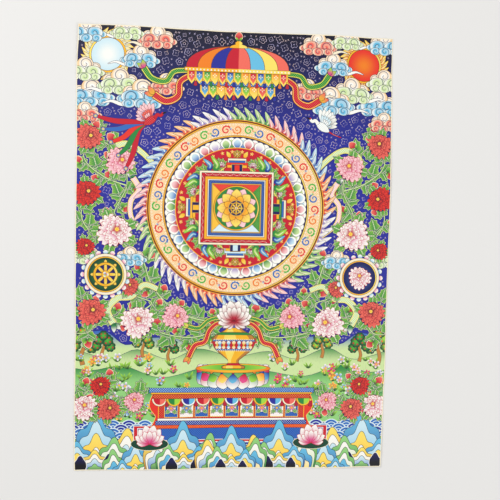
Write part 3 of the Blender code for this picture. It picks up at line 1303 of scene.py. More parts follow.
    def _flowers(self, cloth: Place, rng: random.Random) -> None:
        """Lays the large flowers on the branches and the two roundels."""
        for half in cloth.both():
            for x, y, size, kind in self.FLOWERS:
                self._bloom(half.inside(x, y), size, kind, rng)
        red = Bird((CRIMSON, CORAL), (VERMILION, BLUSH), LAPIS, MAROON, (CRIMSON, MALACHITE, VERMILION,
            AZURE, CRIMSON))
        red.paint(cloth.inside(-88, 131, 30, 34))
        Bird().paint(cloth.both()[0].inside(-88, 130, 30, 36))
        Roundel(LEAF, BOTTLE, Wheel()).paint(cloth.inside(-130, -24, 0, 20))
        Roundel(AZURE, INDIGO, self.PEONIES[0]).paint(cloth.inside(130, -24, 0, 20))


# ---- Shaders ----


def _maths(operation: str, swapped: bool = False) -> Callable[..., "Wire"]:
    """Makes a method that adds a Math node on a wire and other values, which come first if swapped."""

    def method(self: "Wire", *others: "Wire | float") -> "Wire":
        """Adds the node."""
        values = (*others, self) if swapped else (self, *others)
        node = self.graph.node("ShaderNodeMath", dict(enumerate(values)), operation=operation)
        return Wire(self.graph, node.outputs[0])

    return method


class Wire:
    """One number that varies over a surface. Every operator and method adds a node."""

    def __init__(self, graph: "Graph", socket: Socket) -> None:
        """Wraps a socket of a node tree."""
        self.graph, self.socket = graph, socket

    __add__, __sub__, __mul__, __pow__ = map(_maths, ("ADD", "SUBTRACT", "MULTIPLY", "POWER"))
    # Comparisons give 1 or 0.
    __abs__, __gt__, __lt__ = map(_maths, ("ABSOLUTE", "GREATER_THAN", "LESS_THAN"))
    __radd__, __rmul__, __rsub__ = __add__, __mul__, _maths("SUBTRACT", swapped=True)
    # The part is what is past the last whole number.
    sine, part, compare = map(_maths, ("SINE", "FRACT", "COMPARE"))
    angle = _maths("ARCTAN2", swapped=True)  # the direction of (this, across) in radians

    def eased(self, low: float = 0.0, high: float = 1.0) -> "Wire":
        """From 0 at low to 1 at high, with a soft start and end."""
        node = self.graph.node("ShaderNodeMapRange", {"Value": self, "From Min": low, "From Max": high},
            interpolation_type="SMOOTHSTEP")
        return Wire(self.graph, node.outputs[0])


class Graph:
    """A node tree that is being built."""

    def __init__(self, tree: NodeTree) -> None:
        """Starts on an empty tree."""
        self.tree = tree

    def node(self, kind: str, sockets: dict[object, object] | None = None, **settings: object) -> Node:
        """Adds a node.

        Args:
            kind: its type.
            sockets: what each input holds, by name or number: a wire, a socket or a value.
            **settings: its own properties, set first.

        Returns:
            The node.
        """
        node = self.tree.nodes.new(kind)
        for name, value in settings.items():
            setattr(node, name, value)
        for key, value in (sockets or {}).items():
            self.feed(node.inputs[key], value)
        return node

    def feed(self, target: Socket, value: object) -> None:
        """Links or sets one input."""
        if isinstance(value, Wire):
            value = value.socket
        if isinstance(value, Socket):
            self.tree.links.new(value, target)
        else:
            target.default_value = value


class Shader(Graph):
    """A material with one Principled BSDF, and the nodes that feed it."""

    def __init__(self, name: str) -> None:
        """Starts an empty material."""
        self.material = bpy.data.materials.new(name)
        self.material.use_nodes = True
        super().__init__(self.material.node_tree)
        self.tree.nodes.clear()
        self.skin = self.node("ShaderNodeBsdfPrincipled")
        self.node("ShaderNodeOutputMaterial", {"Surface": self.skin.outputs[0]})

    def set(self, **sockets: object) -> None:
        """Sets or links the surface's own inputs, with _ for each space in their names."""
        for name, value in sockets.items():
            self.feed(self.skin.inputs[name.replace("_", " ")], value)

    def attribute(self, name: str) -> Node:
        """Reads one of the mesh's attributes."""
        return self.node("ShaderNodeAttribute", attribute_name=name)

    def parts(self, vector: Socket) -> tuple[Wire, Wire, Wire]:
        """The three numbers of a vector."""
        node = self.node("ShaderNodeSeparateXYZ", {0: vector})
        return tuple(Wire(self, socket) for socket in node.outputs)

    def millimetres(self) -> Socket:
        """Where a point is on the piece, in millimetres."""
        place = self.node("ShaderNodeTexCoord").outputs["Object"]
        return self.node("ShaderNodeVectorMath", {0: place, "Scale": 1 / MM}, operation="SCALE").outputs[0]

    def stretched(self, vector: Socket, x: float, y: float, z: float) -> Socket:
        """A vector with each number scaled."""
        return self.node("ShaderNodeVectorMath", {0: vector, 1: (x, y, z)}, operation="MULTIPLY").outputs[0]

    def noise(self, at: Socket, pitch: float, detail: float = 3.0) -> Wire:
        """Soft irregular patches about a pitch across, from 0 to 1."""
        node = self.node("ShaderNodeTexNoise", {"Vector": at, "Scale": 1 / pitch, "Detail": detail})
        return Wire(self, node.outputs[0])

    def mix(self, factor: "Wire | float", a: object, b: object, blend: str = "MIX") -> Socket:
        """Two colours mixed, or one laid over the other."""
        sockets = {0: factor, 6: a, 7: b}
        return self.node("ShaderNodeMix", sockets, data_type="RGBA", blend_type=blend).outputs[2]

    def bump(self, height: Wire, depth: float) -> Socket:
        """The surface's direction for a height from 0 to 1 and a depth in metres."""
        sockets = {"Height": height, "Strength": 1.0, "Distance": depth}
        return self.node("ShaderNodeBump", sockets).outputs[0]

    def weave(self, at: Socket, pitch: float) -> Wire:
        """A plain weave: the height of warp and weft threads at a pitch in millimetres, from 0 to 1."""
        x, y, _ = self.parts(at)
        warp, weft = (x * (pi / pitch)).sine(), (y * (pi / pitch)).sine()
        over = (x * (pi / pitch) + pi / 2).sine() * (y * (pi / pitch) + pi / 2).sine() > 0
        return over * abs(warp) + (1 - over) * abs(weft)


@dataclass(frozen=True)
class PaintFinish:
    """Mineral paint on primed cotton: the picture, with a satin face."""

    thread: float = 0.62
    weave_depth: float = 0.035 * MM
    satin: float = 0.4

    def material(self) -> Material:
        """Builds the shader that reads each patch's pigments, grain and coordinates."""
        s = Shader("painted_cotton")
        near, far = (s.attribute(name).outputs["Color"] for name in ("near", "far"))
        gilt = Wire(s, s.attribute("gilt").outputs["Fac"])
        u, v, code = s.parts(s.attribute("spot").outputs["Vector"])
        at = s.millimetres()
        out, angle = (u * u + v * v) ** 0.5, u.angle(v)
        fine, broad = s.noise(at, 1.3, 4.0), s.noise(at, 34.0)
        has = {grain: code.compare(grain.value, 0.5) for grain in Grain}
        along, rim = u.eased(), out.eased()
        x, y, _ = s.parts(at)
        lattice = abs((x * 0.42 + y * 0.42).part() - 0.5) + abs((x * 0.42 - y * 0.42).part() - 0.5)
        strokes = s.noise(s.stretched(at, 1.0, 0.22, 1.0), 0.9, 2.0)
        blend = ((has[FADE] + has[TURF]) * along + has[GLOW] * rim + has[PETAL] * u.eased(0.15, 0.95)
            + has[VEINED] * (abs(v) * 1.7 + 0.2 * along) + has[CLOUD] * (out.eased(0.4, 1.0) * 0.7 + 0.3
            * ((out * 1.7 - angle * (1 / tau)).part() > 0.5)) + has[WAVE] * ((out * 3.0).part() > 0.7)
            + has[BROCADE] * (lattice < 0.3))
        vein = ((u * 6.0 - abs(v) * 5.0).part() < 0.2) * (u < 0.9)
        rib = abs(v) < 0.035
        spiral = ((out * 1.7 - angle * (1 / tau)).part() < 0.17) * (out < 0.86) * (out > 0.1)
        dark = (
            has[PETAL] * abs((angle * 16.0).sine()) ** 5.0 * (1 - along) * 0.5
            + has[VEINED] * vein * 0.6
            + has[CLOUD] * spiral * 0.75
            + has[TURF] * strokes.eased(0.55, 0.8) * 0.22
        )
        colour = s.mix(blend, near, far)
        colour = s.mix(has[VEINED] * rib * (u < 0.8) * 0.8, colour, (0.75, 0.85, 0.5, 1.0))
        colour = s.mix(dark, colour, (0.02, 0.03, 0.11, 1.0))
        colour = s.mix(0.12 * broad + 0.1 * fine, colour, (0.5, 0.46, 0.4, 1.0), "SOFT_LIGHT")
        threads = s.weave(at, self.thread)
        height = 0.55 * threads + 0.45 * fine + 0.25 * gilt
        s.set(
            Base_Color=colour,
            Roughness=self.satin + 0.16 * broad - 0.1 * gilt,
            Metallic=gilt * 0.45,
            Normal=s.bump(height, self.weave_depth),
            Specular_IOR_Level=0.3,
        )
        return s.material


@dataclass(frozen=True)
class CottonFinish:
    """Bare cotton cloth, sized with glue."""

    name: str
    colour: Pigment
    worn: Pigment
    thread: float = 0.62
    depth: float = 0.07 * MM

    def material(self) -> Material:
        """Builds the shader of woven threads with slubs, faint stains and painted shade between the
        threads.
        """
        s = Shader(self.name)
        at = s.millimetres()
        threads = s.weave(at, self.thread)
        slubs = s.noise(s.stretched(at, 0.08, 1.4, 1.0), 1.0, 2.0) * 0.5 + s.noise(s.stretched(at, 1.4,
            0.08, 1.0), 1.0) * 0.5
        stains = s.noise(at, 55.0, 5.0).eased(0.45, 0.8)
        base = s.mix(0.5 * stains + 0.3 * slubs, (*self.colour.linear(), 1), (*self.worn.linear(), 1))
        # Painted shade: darker, towards umber, where the weave is low between the threads.
        base = s.mix((1 - threads) * 0.35, base, (*UMBER.linear(), 1))
        s.set(
            Base_Color=base,
            Roughness=0.86 - 0.1 * threads,
            Normal=s.bump(0.8 * threads + 0.4 * slubs, self.depth),
            Specular_IOR_Level=0.25,
            Sheen_Weight=0.15,
            Sheen_Roughness=0.5,
        )
        return s.material


@dataclass(frozen=True)
class RaisedFinish:
    """A thick stroke of one paint, such as a pearl of chalk or a sprig of gold."""

    name: str
    colour: Pigment
    shade: Pigment
    rough: float
    metal: float = 0.0

    def material(self) -> Material:
        """Builds the shader with a little unevenness in tone and gloss."""
        s = Shader(self.name)
        at = s.millimetres()
        tone, grit = s.noise(at, 7.0), s.noise(at, 0.5, 4.0)
        s.set(Base_Color=s.mix(0.6 * tone.eased(0.3, 0.8), (*self.colour.linear(), 1),
            (*self.shade.linear(), 1)), Roughness=self.rough + 0.2 * grit, Metallic=self.metal,
            Normal=s.bump(grit, 0.02 * MM), Specular_IOR_Level=0.45)
        return s.material


# ---- The cloth ----


def new_piece(name: str, data: bpy.types.ID) -> Object:
    """Makes an object of a mesh, a lamp or a camera, and puts it in the scene."""
    piece = bpy.data.objects.new(name, data)
    bpy.context.scene.collection.objects.link(piece)
    return piece


def mesh_from(name: str, points: Points, faces: Iterable[Sequence[int]]) -> Mesh:
    """Makes a mesh, from points in millimetres."""
    mesh = bpy.data.meshes.new(name)
    mesh.from_pydata((np.asarray(points) * MM).tolist(), [], [list(face) for face in faces])
    mesh.update()
    return mesh


@dataclass
class Bed:
    """The CAD cloth, read for its cut edge and for the height of its two sides."""

    node: str = "thangka_cloth"
    tree: BVHTree = field(init=False)

    def __post_init__(self) -> None:
        """Makes the tree that finds its surface."""
        self.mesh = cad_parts[self.node].data
        corners = [v.co.copy() for v in self.mesh.vertices]
        self.tree = BVHTree.FromPolygons(corners, [tuple(p.vertices) for p in self.mesh.polygons])

    def sides(self) -> list[Points]:
        """The cut edge in millimetres: its left, right, foot and head sides, each from low to high."""
        steps: set[tuple] = set()
        for face in self.mesh.polygons:
            if face.normal.z > 0.5:
                keys = [tuple(round(c / MM, 3) for c in self.mesh.vertices[v].co) for v in face.vertices]
                steps.update(zip(keys, keys[1:] + keys[:1]))
        line = np.array(loop_of(steps))[:, :2]
        ends = [int(np.argmax(line @ way)) for way in ((-1, -1), (1, -1), (1, 1), (-1, 1))]
        sides = []
        for (start, stop), axis in zip(((3, 0), (1, 2), (0, 1), (2, 3)), (1, 1, 0, 0)):
            count = (ends[stop] - ends[start]) % len(line) + 1
            side = line[(ends[start] + np.arange(count)) % len(line)]
            sides.append(side[np.argsort(side[:, axis])])
        return sides

    def height(self, x: float, y: float, side: int) -> float:
        """The height in millimetres of the upper side (1) or the underside (-1)."""
        inwards = 0.997
        start = Vector((x * inwards * MM, y * inwards * MM, side))
        hit = self.tree.ray_cast(start, Vector((0, 0, -side)))[0]
        hit = hit or self.tree.find_nearest(Vector((start.x, start.y, 3 * side * MM)))[0]
        return hit.z / MM


@dataclass
class Cloth:
    """The painted cloth: one closed thin sheet, lying in the form of its CAD solid."""

    bed: Bed
    paint: PaintFinish
    back: CottonFinish
    cut: CottonFinish
    grid: float = 7.0  # of the extra corners on the painted side
    under_grid: float = 12.0
    step: float = 3.0  # between the points of its cut edge
    bare: float = 0.75  # the unpainted margin
    swell: float = 0.14  # how far the surface rises and falls by itself
    bulge: float = 0.1  # of the cut edge, outwards
    waver: float = 0.16  # of the shears along each side
    half: tuple[float, float] = (160.0, 225.0)  # half the picture's width and length
    arrangement: Arrangement = field(init=False)
    numbers: list[int] = field(init=False)  # of the patches in the arrangement, in the picture
    sides: list[Points] = field(init=False)

    MET = 1e-5  # corners of the underside nearer than this, in millimetres, become one

    def border(self) -> Points:
        """The picture's rectangle in short steps, anticlockwise from its lower left corner."""
        corners = np.array([(-1, -1), (1, -1), (1, 1), (-1, 1)]) * self.half
        points = []
        for start, end in zip(corners, np.roll(corners, -1, 0)):
            parts = round(hypot(*(end - start)) / self.step)
            points += [start + (end - start) * k / parts for k in range(parts)]
        return np.array(points)

    def placed(self, flat: Points) -> Points:
        """Points of the picture moved to where they lie on the cloth, whose sides aren't straight."""
        flat = np.asarray(flat, float)
        shares = (flat / self.half + 1) / 2
        moved = flat.copy()
        for k, side in enumerate(self.sides):
            axis, high = k // 2, k % 2
            run = flat[:, 1 - axis]
            off = np.interp(run, side[:, 1 - axis], side[:, axis]) - (2 * high - 1) * self.half[axis]
            waver = np.array([noise.noise(Vector((at * 0.11, 9.0 * k, 0.5))) for at in run]) * self.waver
            weight = shares[:, axis] if high else 1 - shares[:, axis]
            moved[:, axis] += (off + waver) * weight
        return moved

    def build(self, picture: Picture) -> Object:
        """Makes the sheet with the picture on its face.

        Args:
            picture: what is painted on it.

        Returns:
            The finished piece.
        """
        self.sides = self.bed.sides()
        border = self.border()
        ragged = self.bare * np.array([1 + 0.55 * noise.noise(Vector((x * 0.05, y * 0.05, 3.0))) for x,
            y in border])
        painted = border + normals(border, closed=True) * ragged[:, None]
        self.numbers = [k for k, patch in enumerate(picture.patches) if self._on_cloth(patch.outline)]
        patches = [picture.patches[k] for k in self.numbers]
        within = tuple(half - 0.3 for half in self.half)
        patches = [replace(patch, outline=clipped(patch.outline, within)) for patch in patches]
        self.arrangement = Arrangement(patches, border, painted, self.grid)
        LOG.info("picture: %d patches, %d triangles", len(self.numbers), len(self.arrangement.triangles))
        piece = new_piece("painted_cloth", self._mesh())
        for finish in (self.paint, self.back, self.cut):
            piece.data.materials.append(finish.material())
        return piece

    def _on_cloth(self, outline: Points) -> bool:
        """Whether any of an outline can lie on the cloth."""
        return bool((outline.min(0) < np.array(self.half) - 1).all()
            and (outline.max(0) > 1 - np.array(self.half)).all())

    def patch_at(self, x: float, y: float) -> int:
        """The number in the picture of the patch that shows at a point, or -1 for bare cloth."""
        index = self.arrangement.patch_at(x, y)
        return self.numbers[index] if index >= 0 else -1

    def rise(self, x: float, y: float) -> float:
        """The height of the painted side in millimetres."""
        wander = noise.noise(Vector((x * 0.018, y * 0.018, 1.7))) + 0.5 * noise.noise(Vector((x * 0.05,
            y * 0.05, 4.2)))
        return self.bed.height(x, y, 1) + self.swell * wander

    def _mesh(self) -> Mesh:
        """Joins the painted side, the underside and the cut edge into one closed mesh."""
        face = self.arrangement
        edge = np.array(loop_of({(a, b) for t in face.triangles.tolist() for a,
            b in zip(t, t[1:] + t[:1])}))
        count, flat_line = len(edge), face.corners[edge]
        around = [(k, (k + 1) % count) for k in range(count)]
        under_flat, under_faces = cut_up(np.concatenate([flat_line, lattice(flat_line, self.under_grid)]),
            around, self.MET)
        sheets = self.placed(face.corners), self.placed(under_flat)
        top, under = (
            np.array([(x, y, rise(x, y)) for x, y in sheet])
            for sheet, rise in zip(sheets, (self.rise, lambda x, y: self.bed.height(x, y, -1)))
        )
        line = top[edge, :2]
        out = -normals(line, closed=True) * self.bulge
        upper, lower = top[edge], under[:count]
        thick = upper[:, 2] - lower[:, 2]
        rings = [np.column_stack([line + out, upper[:, 2] - thick * share]) for share in (0.16, 0.5, 0.84)]
        points = np.concatenate([top, under] + rings)
        first_under = len(top)
        first_ring = first_under + len(under)
        ladder = [edge] + [np.arange(count) + first_ring + count * k for k in range(3)]
        ladder.append(np.arange(count) + first_under)
        walls = []
        for high, low in zip(ladder, ladder[1:]):
            walls += np.column_stack([high, low, np.roll(low, -1), np.roll(high, -1)]).tolist()
        faces = face.triangles.tolist() + (under_faces[:, ::-1] + first_under).tolist() + walls
        mesh = mesh_from("painted_cloth", points, faces)
        counts = (len(face.triangles), len(under_faces), len(walls))
        mesh.polygons.foreach_set("material_index", np.repeat((0, 1, 2), counts).astype(np.int32))
        self._pigments(mesh, counts)
        self._layout(mesh, counts, np.concatenate([face.corners, under_flat]), count)
        mesh.shade_smooth()
        mesh.set_sharp_from_angle(angle=radians(40))
        return mesh

    def _pigments(self, mesh: Mesh, counts: tuple[int, int, int]) -> None:
        """Stores each face's pigments, grain and gold, and each corner's place in its own patch."""
        bare = Patch(self.arrangement.border, Place(), CREAM, CREAM)
        patches = self.arrangement.patches + [bare]
        shown, rest = np.maximum(self.arrangement.top - Arrangement.FIRST, -1), counts[1] + counts[2]
        for name, colours in (("near", [p.near for p in patches]), ("far", [p.far for p in patches])):
            table = np.array([(*c.linear(), 1.0) for c in colours])
            values = np.concatenate([table[shown], np.ones((rest, 4))])
            mesh.attributes.new(name, "FLOAT_COLOR", "FACE").data.foreach_set("color", values.ravel())
        gilt = np.concatenate([np.array([p.gilt for p in patches])[shown], np.zeros(rest)])
        mesh.attributes.new("gilt", "FLOAT", "FACE").data.foreach_set("value", gilt)
        turns = np.array([np.linalg.inv(p.place.matrix()) for p in patches])[shown]
        origins = np.array([(p.place.x, p.place.y) for p in patches])[shown]
        codes = np.array([p.grain.value for p in patches], float)[shown]
        corners = self.arrangement.corners[self.arrangement.triangles] - origins[:, None]
        spots = np.einsum("tij,tkj->tki", turns, corners)
        spots = np.dstack([spots, np.broadcast_to(codes[:, None], spots.shape[:2])]).reshape(-1, 3)
        loops = len(mesh.loops) - len(spots)
        values = np.concatenate([spots, np.zeros((loops, 3))])
        mesh.attributes.new("spot", "FLOAT_VECTOR", "CORNER").data.foreach_set("vector", values.ravel())

    def _layout(self, mesh: Mesh, counts: tuple[int, int, int], flat: Points, count: int) -> None:
        """Lays the cloth out flat: the face on most of the map, the rest in bands below."""
        where = np.empty(len(mesh.loops), np.int32)
        mesh.loops.foreach_get("vertex_index", where)
        tops, both = counts[0] * 3, (counts[0] + counts[1]) * 3
        across, along = ((flat[where[:both]] / self.half + 1) / 2).T
        spread = np.empty((len(where), 2))
        spread[:tops] = np.column_stack([along[:tops], 0.16 + 0.84 * (1 - across[:tops])])
        spread[tops:both] = np.column_stack([along[tops:], 0.03 + 0.12 * across[tops:]])
        rows = counts[2] // count
        step = np.tile(np.arange(count), rows)[:, None] + (0, 0, 1, 1)
        row = np.repeat(np.arange(rows), count)[:, None] + (0, 1, 1, 0)
        spread[both:] = np.column_stack([(step / count).ravel(), 0.02 - 0.016 * (row / rows).ravel()])
        mesh.uv_layers.new(name="OFBake").data.foreach_set("uv", spread.ravel())


# ---- Small raised forms, set on the cloth by Geometry Nodes ----


def ridged(outlines: Iterable[tuple[Points, Points]], height: float) -> Mesh:
    """Strokes of thick paint: each outline rises to a ridge.

    Args:
        outlines: for each stroke its outline and the line of its ridge, with as many points on
            each side of the outline as on the ridge.
        height: of the ridge.

    Returns:
        The mesh, closed, with its underside flat.
    """
    points, faces = [], []
    for outline, ridge in outlines:
        first, count, steps = len(points), len(outline), len(ridge)
        points += [(x, y, 0.0) for x, y in outline] + [(x, y, height) for x, y in ridge]
        right, left = list(range(first, first + steps)), list(range(first + count - 1, first + count - 1
            - steps, -1))
        top = list(range(first + count, first + count + steps))
        for k in range(steps - 1):
            faces += [(right[k], right[k + 1], top[k + 1], top[k]), (left[k + 1], left[k], top[k],
                top[k + 1])]
        faces += [(left[0], right[0], top[0]), (right[-1], left[-1], top[-1]),
            tuple(range(first + count - 1, first - 1, -1))]
    return mesh_from("stroke", points, faces)


@dataclass(frozen=True)
class Sown:
    """Many copies of a few small forms, set on points and joined into one piece."""

    name: str
    finish: RaisedFinish | CottonFinish
    spread: float = 0.0  # how far a copy may turn from its heading, in radians
    least: float = 1.0  # the smallest copy's share of its size
    seed: int = 1

    def _tree(self, kinds: int) -> NodeTree:
        """Builds the node tree, with an input for each form and for the sizes and the seed."""
        tree = bpy.data.node_groups.new(f"{self.name}_setting", "GeometryNodeTree")
        inputs = [("Points", "Geometry"), *((f"Form {k + 1}", "Object") for k in range(kinds)),
            ("Spread", "Float"), ("Least size", "Float"), ("Seed", "Int"), ("Finish", "Material")]
        for title, value in inputs:
            tree.interface.new_socket(title, in_out="INPUT", socket_type=f"NodeSocket{value}")
        tree.interface.new_socket("Piece", in_out="OUTPUT", socket_type="NodeSocketGeometry")

        graph = Graph(tree)
        given = graph.node("NodeGroupInput").outputs
        forms = graph.node("GeometryNodeJoinGeometry")
        for k in reversed(range(kinds)):  # a join lists its last link first
            form = graph.node("GeometryNodeObjectInfo", {"Object": given[f"Form {k + 1}"],
                "As Instance": True})
            tree.links.new(form.outputs["Geometry"], forms.inputs[0])
        size, heading, kind = (Wire(graph, graph.node("GeometryNodeInputNamedAttribute", {"Name": title},
            data_type="FLOAT").outputs[0]) for title in ("size", "heading", "kind"))
        share = self._random(graph, given["Least size"], given["Seed"])
        sway = self._random(graph, -1.0, given["Seed"]) * given["Spread"]
        turn = graph.node("ShaderNodeCombineXYZ", {"Z": heading + sway}).outputs[0]
        sown = graph.node("GeometryNodeInstanceOnPoints", {"Points": given["Points"],
            "Instance": forms.outputs[0], "Pick Instance": True, "Instance Index": kind, "Rotation": turn,
            "Scale": size * share})
        real = graph.node("GeometryNodeRealizeInstances", {"Geometry": sown.outputs[0]})
        dressed = graph.node("GeometryNodeSetMaterial", {"Geometry": real.outputs[0],
            "Material": given["Finish"]})
        graph.node("NodeGroupOutput", {"Piece": dressed.outputs[0]})
        return tree

    def _random(self, graph: Graph, low: object, seed: Socket) -> Wire:
        """A random number for each copy, from low to 1."""
        node = graph.node("FunctionNodeRandomValue", {2: low, 3: 1.0, "Seed": seed}, data_type="FLOAT")
        return Wire(graph, node.outputs[1])

    def build(self, forms: Sequence[Mesh], spots: Sequence[tuple[float, ...]]) -> Object:
        """Sets the forms.

        Args:
            forms: the meshes to copy, at the size that they have at size 1.
            spots: for each copy its x, y and z in millimetres, its heading, its size and its form's number.

        Returns:
            The finished piece.
        """
        table = np.array(spots)
        seeds = new_piece(f"{self.name}_spots", mesh_from("spots", table[:, :3], []))
        for title, column in (("heading", 3), ("size", 4), ("kind", 5)):
            seeds.data.attributes.new(title, "FLOAT", "POINT").data.foreach_set("value", table[:, column])
        sources = [new_piece(f"{self.name}_form_{k}", form) for k, form in enumerate(forms)]
        grower = seeds.modifiers.new("setting", "NODES")
        grower.node_group = self._tree(len(forms))
        values = {f"Form {k + 1}": source for k, source in enumerate(sources)}
        values |= {"Spread": self.spread, "Least size": self.least, "Seed": self.seed,
            "Finish": self.finish.material()}
        for item in grower.node_group.interface.items_tree:
            if item.in_out == "INPUT" and item.name in values:
                grower[item.identifier] = values[item.name]
        ready = seeds.evaluated_get(bpy.context.evaluated_depsgraph_get())
        piece = new_piece(self.name, bpy.data.meshes.new_from_object(ready))
        for spent in [seeds, *sources]:
            bpy.data.objects.remove(spent)
        LOG.info("%s: %d copies, %d faces", self.name, len(table), len(piece.data.polygons))
        return piece


@dataclass(frozen=True)
class Pearls:
    """The raised dots of chalk paint."""

    finish: RaisedFinish
    height: float = 0.34  # of a dot of radius 1

    def build(self, cloth: Cloth, picture: Picture) -> Object:
        """Sets a dot on each spot that no later paint covers."""
        shown = [dot for dot in picture.pearls if -1 < cloth.patch_at(*dot[:2]) < dot[3]]
        places = cloth.placed([dot[:2] for dot in shown])
        spots = [(x, y, cloth.rise(x, y) - 0.03, x + y, dot[2], 0) for (x, y), dot in zip(places, shown)]
        return Sown("pearl_dots", self.finish).build([self._dot()], spots)

    def _dot(self) -> Mesh:
        """A low dome of radius 1 mm, closed underneath."""
        sides = 8
        rings = ((1.0, 0.0), (0.86, 0.55 * self.height), (0.5, 0.9 * self.height))
        points = [(x, y, z) for r, z in rings for x, y in disc(sides) * r] + [(0.0, 0.0, self.height)]
        faces = [tuple(range(sides - 1, -1, -1))]
        for k in range(sides):
            after = (k + 1) % sides
            for ring in (0, sides):
                faces.append((ring + k, ring + after, ring + after + sides, ring + k + sides))
            faces.append((k + 2 * sides, after + 2 * sides, 3 * sides))
        mesh = mesh_from("dot", points, faces)
        mesh.shade_smooth()
        return mesh


@dataclass(frozen=True)
class Sprigs:
    """Pale gold florets drawn over the blue ground."""

    finish: RaisedFinish
    seed: int = 5
    height: float = 0.07
    half_line: float = 0.27
    sizes: Path = ((4.4, 4.4), (2.8, 3.8), (1.3, 2.7))  # the radius and the pitch tried

    FIELD = (330, 460)  # a little more than the cloth
    WITHIN = (158, 223)  # the furthest that a floret may reach

    def build(self, cloth: Cloth) -> Object:
        """Sets the largest florets first, then smaller ones in the gaps."""
        rng, placed = random.Random(self.seed), []
        width, length = self.FIELD
        for kind, (radius, pitch) in enumerate(self.sizes):
            for row in range(ceil(length / pitch)):
                for column in range(ceil(width / pitch)):
                    x = (column + 0.5 * (row % 2)) * pitch - width / 2 + rng.uniform(-0.2, 0.2) * pitch
                    y = row * pitch - length / 2 + rng.uniform(-0.2, 0.2) * pitch
                    clear = all(hypot(x - a, y - b) > radius + r + 0.3 for a, b, r, _ in placed)
                    if clear and self._free(cloth, x, y, radius):
                        placed.append((x, y, radius, 2 * kind + len(placed) % 2 if kind < 2 else 4))
        spots = [
            (x, y, cloth.rise(x, y) - 0.02, rng.uniform(0, tau), 1.0, kind)
            for (x, y), (*_, kind) in zip(cloth.placed([spot[:2] for spot in placed]), placed)
        ]
        return Sown("gold_florets", self.finish, least=0.88, seed=self.seed).build(self._forms(), spots)

    def _free(self, cloth: Cloth, x: float, y: float, radius: float) -> bool:
        """Whether only the ground shows in a circle."""
        probes = [(0.0, 0.0)] + [(radius * a, radius * b) for a, b in disc(8)]
        return all(abs(x + a) < self.WITHIN[0] and abs(y + b) < self.WITHIN[1] and cloth.patch_at(x + a,
            y + b) == 0 for a, b in probes)

    def _forms(self) -> list[Mesh]:
        """Two large florets, a small floret and a diamond, and a star."""
        drawings = (
            [self._ring(5, 4.2, 0.3), self._ring(5, 1.3, 0.0)],
            [self._ring(4, 4.2, 0.42), self._bar(-0.9, 0, 1.8), self._bar(-0.9, 90, 1.8)],
            [self._ring(4, 2.7, 0.4), self._bar(-0.4, 45, 0.8)],
            [self._ring(4, 2.6, -0.4), self._bar(-0.4, 45, 0.8)],
            [self._bar(-1.3, 45, 2.6), self._bar(-1.3, 135, 2.6)],
        )
        return [ridged(strokes, self.height) for strokes in drawings]

    def _ring(self, lobes: int, radius: float, depth: float) -> tuple[Points, Points]:
        """A lobed outline drawn in one stroke, or one with points if its depth is under 0."""
        turn = np.linspace(0.04, tau - 0.04, (3 if depth >= 0 else 2) * lobes + 1)
        path = polar(radius * (1 - max(depth, 0) + depth * np.abs(np.sin(turn * lobes / 2))), turn)
        return ribbon(path, self.half_line, self.half_line), path

    def _bar(self, start: float, turn: float, length: float) -> tuple[Points, Points]:
        """A short dab along a direction."""
        path = Place(0, 0, turn).put([(start + length * share, 0.0) for share in (0.0, 0.5, 1.0)])
        return ribbon(path, 0.16, 0.14, 0.16), path


@dataclass(frozen=True)
class Fray:
    """Short ends of yarn along the cut edge."""

    finish: CottonFinish
    pitch: float = 2.1
    seed: int = 3

    def build(self, cloth: Cloth) -> Object:
        """Sets an end every few threads, pointing outwards."""
        rng, line = random.Random(self.seed), cloth.placed(cloth.border())
        out = -normals(line, closed=True)
        spots = []
        for (x, y), (a, b) in zip(line, out):
            for _ in range(max(1, round(cloth.step / self.pitch))):
                shift = rng.uniform(-0.5, 0.5) * cloth.step
                px, py = x - b * shift, y + a * shift
                level = cloth.bed.height(px, py, 1) - rng.uniform(0.3, 0.7)
                size = rng.choice((0.3, 0.45, 0.6, 0.6, 1.0))
                spots.append((px - 0.2 * a, py - 0.2 * b, level, atan2(b, a), size, rng.randrange(3)))
        return Sown("frayed_yarns", self.finish, spread=0.8, least=0.5,
            seed=self.seed).build(self._ends(), spots)

    def _ends(self) -> list[Mesh]:
        """Three bent three-sided yarns, about 2 mm long."""
        forms = []
        for bend in (0.35, -0.25, 0.1):
            path = smooth(((0, 0), (0.8, bend), (1.5, 0.2 * bend), (2.1, -bend)), 1)
            points, faces = [], []
            for k, (x, y) in enumerate(path):
                half = 0.13 * (1 - 0.2 * k)
                points += [(x, y - half, 0.0), (x, y + half, 0.0), (x, y, 1.4 * half)]
            for k in range(len(path) - 1):
                for a, b in ((0, 1), (1, 2), (2, 0)):
                    faces.append((3 * k + a, 3 * k + b, 3 * k + 3 + b, 3 * k + 3 + a))
            last = 3 * (len(path) - 1)
            faces += [(2, 1, 0), (last, last + 1, last + 2)]
            mesh = mesh_from("yarn_end", points, faces)
            mesh.shade_smooth()
            forms.append(outwards(mesh))
        return forms


def outwards(mesh: Mesh) -> Mesh:
    """Turns a closed mesh's faces outwards."""
    form = bmesh.new()
    form.from_mesh(mesh)
    bmesh.ops.recalc_face_normals(form, faces=form.faces)
    form.to_mesh(mesh)
    form.free()
    return mesh


# ---- The studio ----


